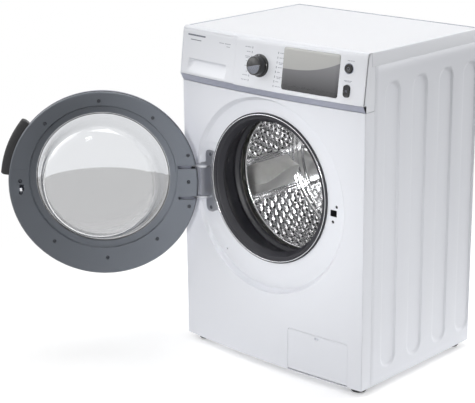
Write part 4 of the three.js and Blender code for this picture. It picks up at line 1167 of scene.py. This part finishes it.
def door_handle():
    """A grip round the rim, its outside covered in raised diamonds."""
    start, end = 6.0, 41.0
    base = 242.6
    outline = fillet([(base, -36.6), (base, -13.4), (255, -13.4), (264, -17.5), (264, -32), (257, -36.6)],
                     [1, 1, 5, 4, 5, 5], 9)
    lengths = np.cumsum([0] + [math.dist(a, b) for a, b in zip(outline, outline[1:])])
    total = lengths[-1] + math.dist(outline[-1], outline[0])
    around = np.linspace(0, total, 84, endpoint=False)
    loop = np.array([*outline, outline[0]])
    r = np.interp(around, [*lengths, total], loop[:, 0])
    d = np.interp(around, [*lengths, total], loop[:, 1])
    middle = np.array([252.0, -25.0])
    out = np.stack([r, d], -1) - middle
    out /= np.linalg.norm(out, axis=1)[:, None]
    angles = np.linspace(start, end, 210)
    rows = []
    for a in angles:
        end_gap = min(a - start, end - a) * math.radians(1) * 253
        shrink = 1 - 0.28 * (1 - min(1, end_gap / 5)) ** 2
        along = math.radians(a - start) * 253
        u, v = (along + around) / 3.4, (along - around) / 3.4
        hatch = np.minimum(np.abs(u % 1 - 0.5), np.abs(v % 1 - 0.5)) * 2
        relief = 0.75 * np.clip(hatch * 2.2, 0, 1) - 0.75
        relief = relief * np.where(r > 245, 1, 0) * (1 if end_gap > 2 else 0)
        rr = base + (r + out[:, 0] * relief - base) * shrink
        dd = middle[1] + (d + out[:, 1] * relief - middle[1]) * shrink
        rows.append(polar(rr, dd, math.radians(a), DISC_Z))
    mesh_object("door_grip", np.array(rows).reshape(-1, 3), tube_faces(len(angles), len(around)),
                handle_black, "door", "black_plastic", swung=True, replaces=["door_handle"], sharp=35)


def latch_hook():
    hook = fillet([(-13.6, -4), (7.6, -4), (8, -6.6), (11, -6.6), (14, -3.6), (14, 3), (-13.6, 3)],
                  [1, 1, 0.6, 0.8, 1.5, 2, 1], 4)
    outline = [(d, LATCH[1] + z) for d, z in hook]
    side = prism(outline, (LATCH[0] - 2.9, LATCH[0] + 2.9), lambda a, b, x: (x, a, b))
    mesh_object("latch_hook_steel", *side, steel_wire, "latch", "zinc_steel", swung=True,
                replaces=["latch_hook"], sharp=35, bevel=0.7)


service_flap()
door_seal()
clamp_wire()
hinge_bracket()
door_rings()
door_glass()
door_handle()
latch_hook()


# ---- drum -----------------------------------------------------------------------------------
DRUM_RADIUS = 238.0
LIFTER_ANGLES = (195.0, 75.0, -45.0)
CELL_COLUMNS = 60
CELL_ROW = 21.5
WALL_FROM, WALL_TO = 133.0, 366.0


def arc_from_lifter(degrees):
    """Distance along the wall to the nearest lifter's middle, for an array of angles."""
    gaps = [np.abs((degrees - a + 180) % 360 - 180) for a in LIFTER_ANGLES]
    return np.radians(np.minimum.reduce(gaps)) * DRUM_RADIUS


def cell_field(degrees, depth):
    """Six-sided distance to the middle of the nearest pressed cell."""
    pitch = 360 / CELL_COLUMNS
    middle = (WALL_FROM + WALL_TO) / 2
    best = np.full(np.broadcast(degrees, depth).shape, 99.0)
    row = np.round((depth - middle) / CELL_ROW)
    for step in (-1, 0, 1):
        r = row + step
        dy = depth - middle - r * CELL_ROW
        shift = np.where(r % 2 == 0, 0, pitch / 2)
        dx = np.radians((degrees - shift + pitch / 2) % pitch - pitch / 2) * DRUM_RADIUS
        best = np.minimum(best, np.maximum(np.abs(dx) * math.cos(math.pi / 6) + np.abs(dy) * 0.5, np.abs(dy)))
    return best


def drum_bowl():
    segments = 540
    degrees = np.arange(segments) * 360 / segments
    # front rim, front plate, wall, back plate
    front = [*spline([(181.6, 113.4), (179.6, 113.2), (178.6, 115), (179.4, 117.2), (183, 118.6),
                      (196, 120.2), (222, 124.4), (232, 127.0), (236.6, 129.6)], 3)]
    wall = [(DRUM_RADIUS, y) for y in np.linspace(WALL_FROM, WALL_TO, 89)]
    back_arc = [(DRUM_RADIUS - 5 * (1 - math.cos(t)), WALL_TO + 5 * math.sin(t))
                for t in np.linspace(0.2, math.pi / 2, 4)]
    plate = [(r, 380 - (r / DRUM_RADIUS) ** 1.2 * 8.6)
             for r in [*np.linspace(231, 60, 46), *np.linspace(54, 0.01, 9)]]
    inside = [*front, *wall, *back_arc, *plate]
    outside = [(0.01, 381.8), (225, 374.2), (236, 371.5), (239.6, 366), (239.6, 130), (237, 127.2),
               (222, 122.8), (196, 118.6), (186, 115.6), (183.6, 113.6)]
    r_in, d_in = np.array(inside).T
    a, r = np.meshgrid(degrees, r_in, indexing="ij")
    d = np.broadcast_to(d_in, a.shape).copy()
    index = np.arange(len(inside))
    on_wall = (index >= len(front)) & (index < len(front) + len(wall))
    off = arc_from_lifter(a)
    best = cell_field(a, d)
    ends = smoothstep(WALL_FROM + 1, WALL_FROM + 9, d) * smoothstep(WALL_TO - 1, WALL_TO - 9, d)
    plain = smoothstep(57, 63, off)
    height = 3.1 * smoothstep(10.9, 6.2, best) * ends * plain
    height += 2.2 * np.exp(-((off - 47) / 2.4) ** 2) * ends
    radius = np.where(on_wall, r - height, r)
    # six pressed petals, a hub and a bead round the back plate
    on_plate = index >= len(front) + len(wall) + len(back_arc)
    swing = np.radians((a - 15 + 30) % 60 - 30)
    across = np.abs(np.sin(swing)) * r
    width = 18 + 0.20 * r
    petal = smoothstep(width, width - 12, across) * smoothstep(74, 90, r) * smoothstep(214, 196, r)
    raised = 6.5 * petal + 3.0 * smoothstep(52, 44, r)
    raised = raised + 1.8 * np.exp(-((r - 223) / 3) ** 2) + 1.2 * np.exp(-((r - 64) / 2.5) ** 2)
    depth = np.where(on_plate, d - raised, d)
    r_out, d_out = np.array(outside).T
    points = np.concatenate([polar(radius, depth, np.radians(a)),
                             polar(r_out, d_out, np.radians(degrees)[:, None])], 1)
    columns = points.shape[1]
    faces = grid_faces(segments, columns, wrap_rows=True, wrap_columns=True)
    # one quad in the gap beside each cell is painted dark as the shade inside a hole in the sheet
    dark = (best > 11.6) & on_wall & (ends > 0.9) & (plain > 0.9)
    flags = np.zeros((segments, columns), bool)
    flags[:, :len(inside)] = dark
    slots = [1 if flags[i // columns, i % columns] else 0 for i in range(segments * columns)]
    mesh_object("drum_bowl", points.reshape(-1, 3), faces, [drum_steel, drum_hole_painted_shade], "drum", "stainless",
                face_slots=slots, replaces=["drum_shell"], sharp=50)


def lifter(number, angle):
    """A wave-shaped paddle: a broad back, a wandering crest and a fan of ridges at its front end."""
    along, across = 96, 72
    half = 40.0
    s = np.linspace(0, 1, along)[:, None]
    v = np.linspace(-1, 1, across)[None, :]
    crest = 0.42 * np.sin(2 * math.pi * (s - 0.02))
    span = np.where(v > crest, 1 - crest, 1 + crest)
    u = np.clip(np.abs(v - crest) / span, 0, 1)
    rise = smoothstep(0, 0.30, s) * 0.45 + smoothstep(0.15, 0.75, s) * 0.55
    rise = rise * np.sqrt(np.clip(1 - np.clip((s - 0.84) / 0.16, 0, 1) ** 2, 0, 1))
    bell = (1 - u**1.25) ** 1.15
    sharp_ridge = 0.8 * np.exp(-((v - crest) / 0.035) ** 2) * smoothstep(0.08, 0.2, s)
    height = 57 * rise * bell + sharp_ridge
    fan = np.hypot(s * 200, (v - crest[0]) * half)
    height += 0.55 * np.sin(2 * math.pi * fan / 5.0) * smoothstep(46, 38, fan) * smoothstep(4, 9, fan)
    height = height + 1.6 * smoothstep(1.0, 0.92, np.abs(v)) * smoothstep(0, 0.02, s) * smoothstep(1, 0.98, s)
    base = DRUM_RADIUS - 1.2
    t = np.radians(angle) + v * half / 235.0 + 0 * s
    radius = base - height
    depth = 147 + 200 * s + 0 * v
    sheet = closed_sheet(polar(radius, depth, t), polar(base + 0.8, depth, t))
    mesh_object("lifter_%d" % number, *sheet, lifter_grey, "drum", "grey_plastic",
                replaces=["drum_lifter_%d" % number], sharp=60)
    # pressed steel strips hold the paddle's long edges
    for side in (-1, 1):
        ts = math.radians(angle) + side * (half + 2.0) / DRUM_RADIUS
        outline = [(-2.4, 0.2), (2.4, 0.2), (2.0, 1.6), (0.8, 2.2), (-0.8, 2.2), (-2.0, 1.6)]
        w, h = np.array(outline).T
        points = np.concatenate([polar(DRUM_RADIUS - h, y, ts + w / DRUM_RADIUS)
                                 for y in np.linspace(141, 352, 24)])
        mesh_object("lifter_%d_strip_%d" % (number, (side + 3) // 2), points, tube_faces(24, len(outline)),
                    steel_wire, "drum", "stainless", sharp=50)


# Painted shade: the dark inside the drum's holes.
drum_hole_painted_shade = Paint("drum_hole_shadow", (0.01, 0.01, 0.012), 0.6, drift=0.2)
drum_bowl()
for number, angle in enumerate(LIFTER_ANGLES, 1):
    lifter(number, angle)


# ---- carried-over parts ---------------------------------------------------------------------
CARRIED = {
    "base_tray": (zinc, 0.6), "detergent_drawer": (tray_white, 0.7), "siphon_cap": (grey_cap, 0.8),
    "drawer_housing": (tub_plastic, 0.8), "door_lock": (black_matt, 1.0), "tub_front": (tub_plastic, 1.0),
    "tub_rear": (tub_plastic, 1.0), "front_counterweight": (cast_iron, 2.0),
    "top_counterweight": (cast_iron, 2.0), "suspension_spring_left": (steel_wire, 0.4),
    "suspension_spring_right": (steel_wire, 0.4), "damper_tube_left": (black_matt, 0.8),
    "damper_tube_right": (black_matt, 0.8), "damper_rod_left": (zinc, 0.5),
    "damper_rod_right": (zinc, 0.5), "bearing_front": (steel_wire, 0.5), "bearing_rear": (steel_wire, 0.5),
    "drive_belt": (belt_rubber, 0.4), "motor_housing": (zinc, 1.2), "heating_element": (steel_wire, 0.6),
    "inlet_valve": (grey_cap, 0.6), "drain_pump": (grey_cap, 1.0), "mains_cable_gland": (black_matt, 0.6),
    "drum_spider": (cast_iron, 1.2), "drum_pulley": (zinc, 0.6), "motor_pulley": (zinc, 0.4),
    "control_board": (board_green, 0.4), "pump_filter_cap": (grey_cap, 0.8),
    "door_hinge_pin": (steel_wire, 0.4),
}
for node, (paint, width) in CARRIED.items():
    obj = bpy.data.objects[node]
    for material_slot in obj.material_slots:
        material_slot.material = paint.material
    bevelled(obj, width, 2, 35)


# ---- floor and light ------------------------------------------------------------------------
def floor():
    """A pale round floor that fades into the white surroundings."""
    reach, corners = 2.6, 64  # metres here, as are the fade's radii
    fade_from, fade_to = 0.55, 1.3
    angles = np.linspace(0, 2 * math.pi, corners, endpoint=False)
    mesh = bpy.data.meshes.new("floor")
    points = [(reach * math.cos(a), reach * math.sin(a), -0.0005) for a in angles]
    mesh.from_pydata(points, [], [tuple(range(corners))])
    paint = Paint("floor_pale", (0.97, 0.97, 0.97), 0.8, drift=0.003, drift_scale=0.5, relief=0,
                  rough_spread=0.02, emission_color=(1, 1, 1, 1), emission_strength=0.33)
    away = paint.node("ShaderNodeVectorMath")
    away.operation = "LENGTH"
    paint.link(paint.place, away.inputs[0])
    paint.link(paint.remap(away.outputs["Value"], 1, 0, fade_from, fade_to), paint.shader.inputs["Alpha"])
    mesh.materials.append(paint.material)
    obj = bpy.data.objects.new("floor", mesh)
    bpy.context.scene.collection.objects.link(obj)


def soft_light(name, azimuth, elevation, power, distance=3.6, size=2.4, aim=(0, 0, 0.45), spread=180):
    """A square lamp that looks at a point from an azimuth off the front, and isn't seen itself."""
    a, e = math.radians(azimuth), math.radians(elevation)
    at = Vector(aim) + distance * Vector((math.sin(a) * math.cos(e), -math.cos(a) * math.cos(e), math.sin(e)))
    data = bpy.data.lights.new(name, "AREA")
    data.shape = "RECTANGLE"
    data.size = data.size_y = size
    data.energy = power
    data.spread = math.radians(spread)
    obj = bpy.data.objects.new(name, data)
    towards = (at - Vector(aim)).to_track_quat("Z", "Y")
    obj.matrix_world = Matrix.Translation(at) @ towards.to_matrix().to_4x4()
    obj.visible_camera = False
    bpy.context.scene.collection.objects.link(obj)


# How bright the surroundings are to each kind of ray.
SKY_LEVELS = {"Is Diffuse Ray": 0.10, "Is Glossy Ray": 1.05, "Is Camera Ray": 1.0, "Is Transmission Ray": 1.0}


def surroundings():
    world = bpy.data.worlds.new("studio")
    bpy.context.scene.world = world
    world.use_nodes = True
    tree = world.node_tree
    background = tree.nodes["Background"]
    ray = tree.nodes.new("ShaderNodeLightPath")
    strength = None
    for kind, level in SKY_LEVELS.items():
        node = tree.nodes.new("ShaderNodeMath")
        node.operation = "MULTIPLY"
        tree.links.new(ray.outputs[kind], node.inputs[0])
        node.inputs[1].default_value = level
        if strength:
            most = tree.nodes.new("ShaderNodeMath")
            most.operation = "MAXIMUM"
            tree.links.new(strength, most.inputs[0])
            tree.links.new(node.outputs[0], most.inputs[1])
            node = most
        strength = node.outputs[0]
    tree.links.new(strength, background.inputs["Strength"])
    background.inputs["Color"].default_value = (1, 1, 1, 1)


floor()
surroundings()
for name, azimuth, elevation, power in (
    ("front_left", -30, 30, 20), ("front_low", -40, 8, 5), ("left_high", -55, 35, 26),
    ("left_side", -75, 25, 18), ("right_rear", 150, 25, 98), ("top", 0, 88, 54),
):
    soft_light(name, azimuth, elevation, power)
soft_light("into_the_drum", 30, 14, 1.0, distance=2.6, size=0.7, aim=(-0.006, -0.1, 0.47), spread=16)
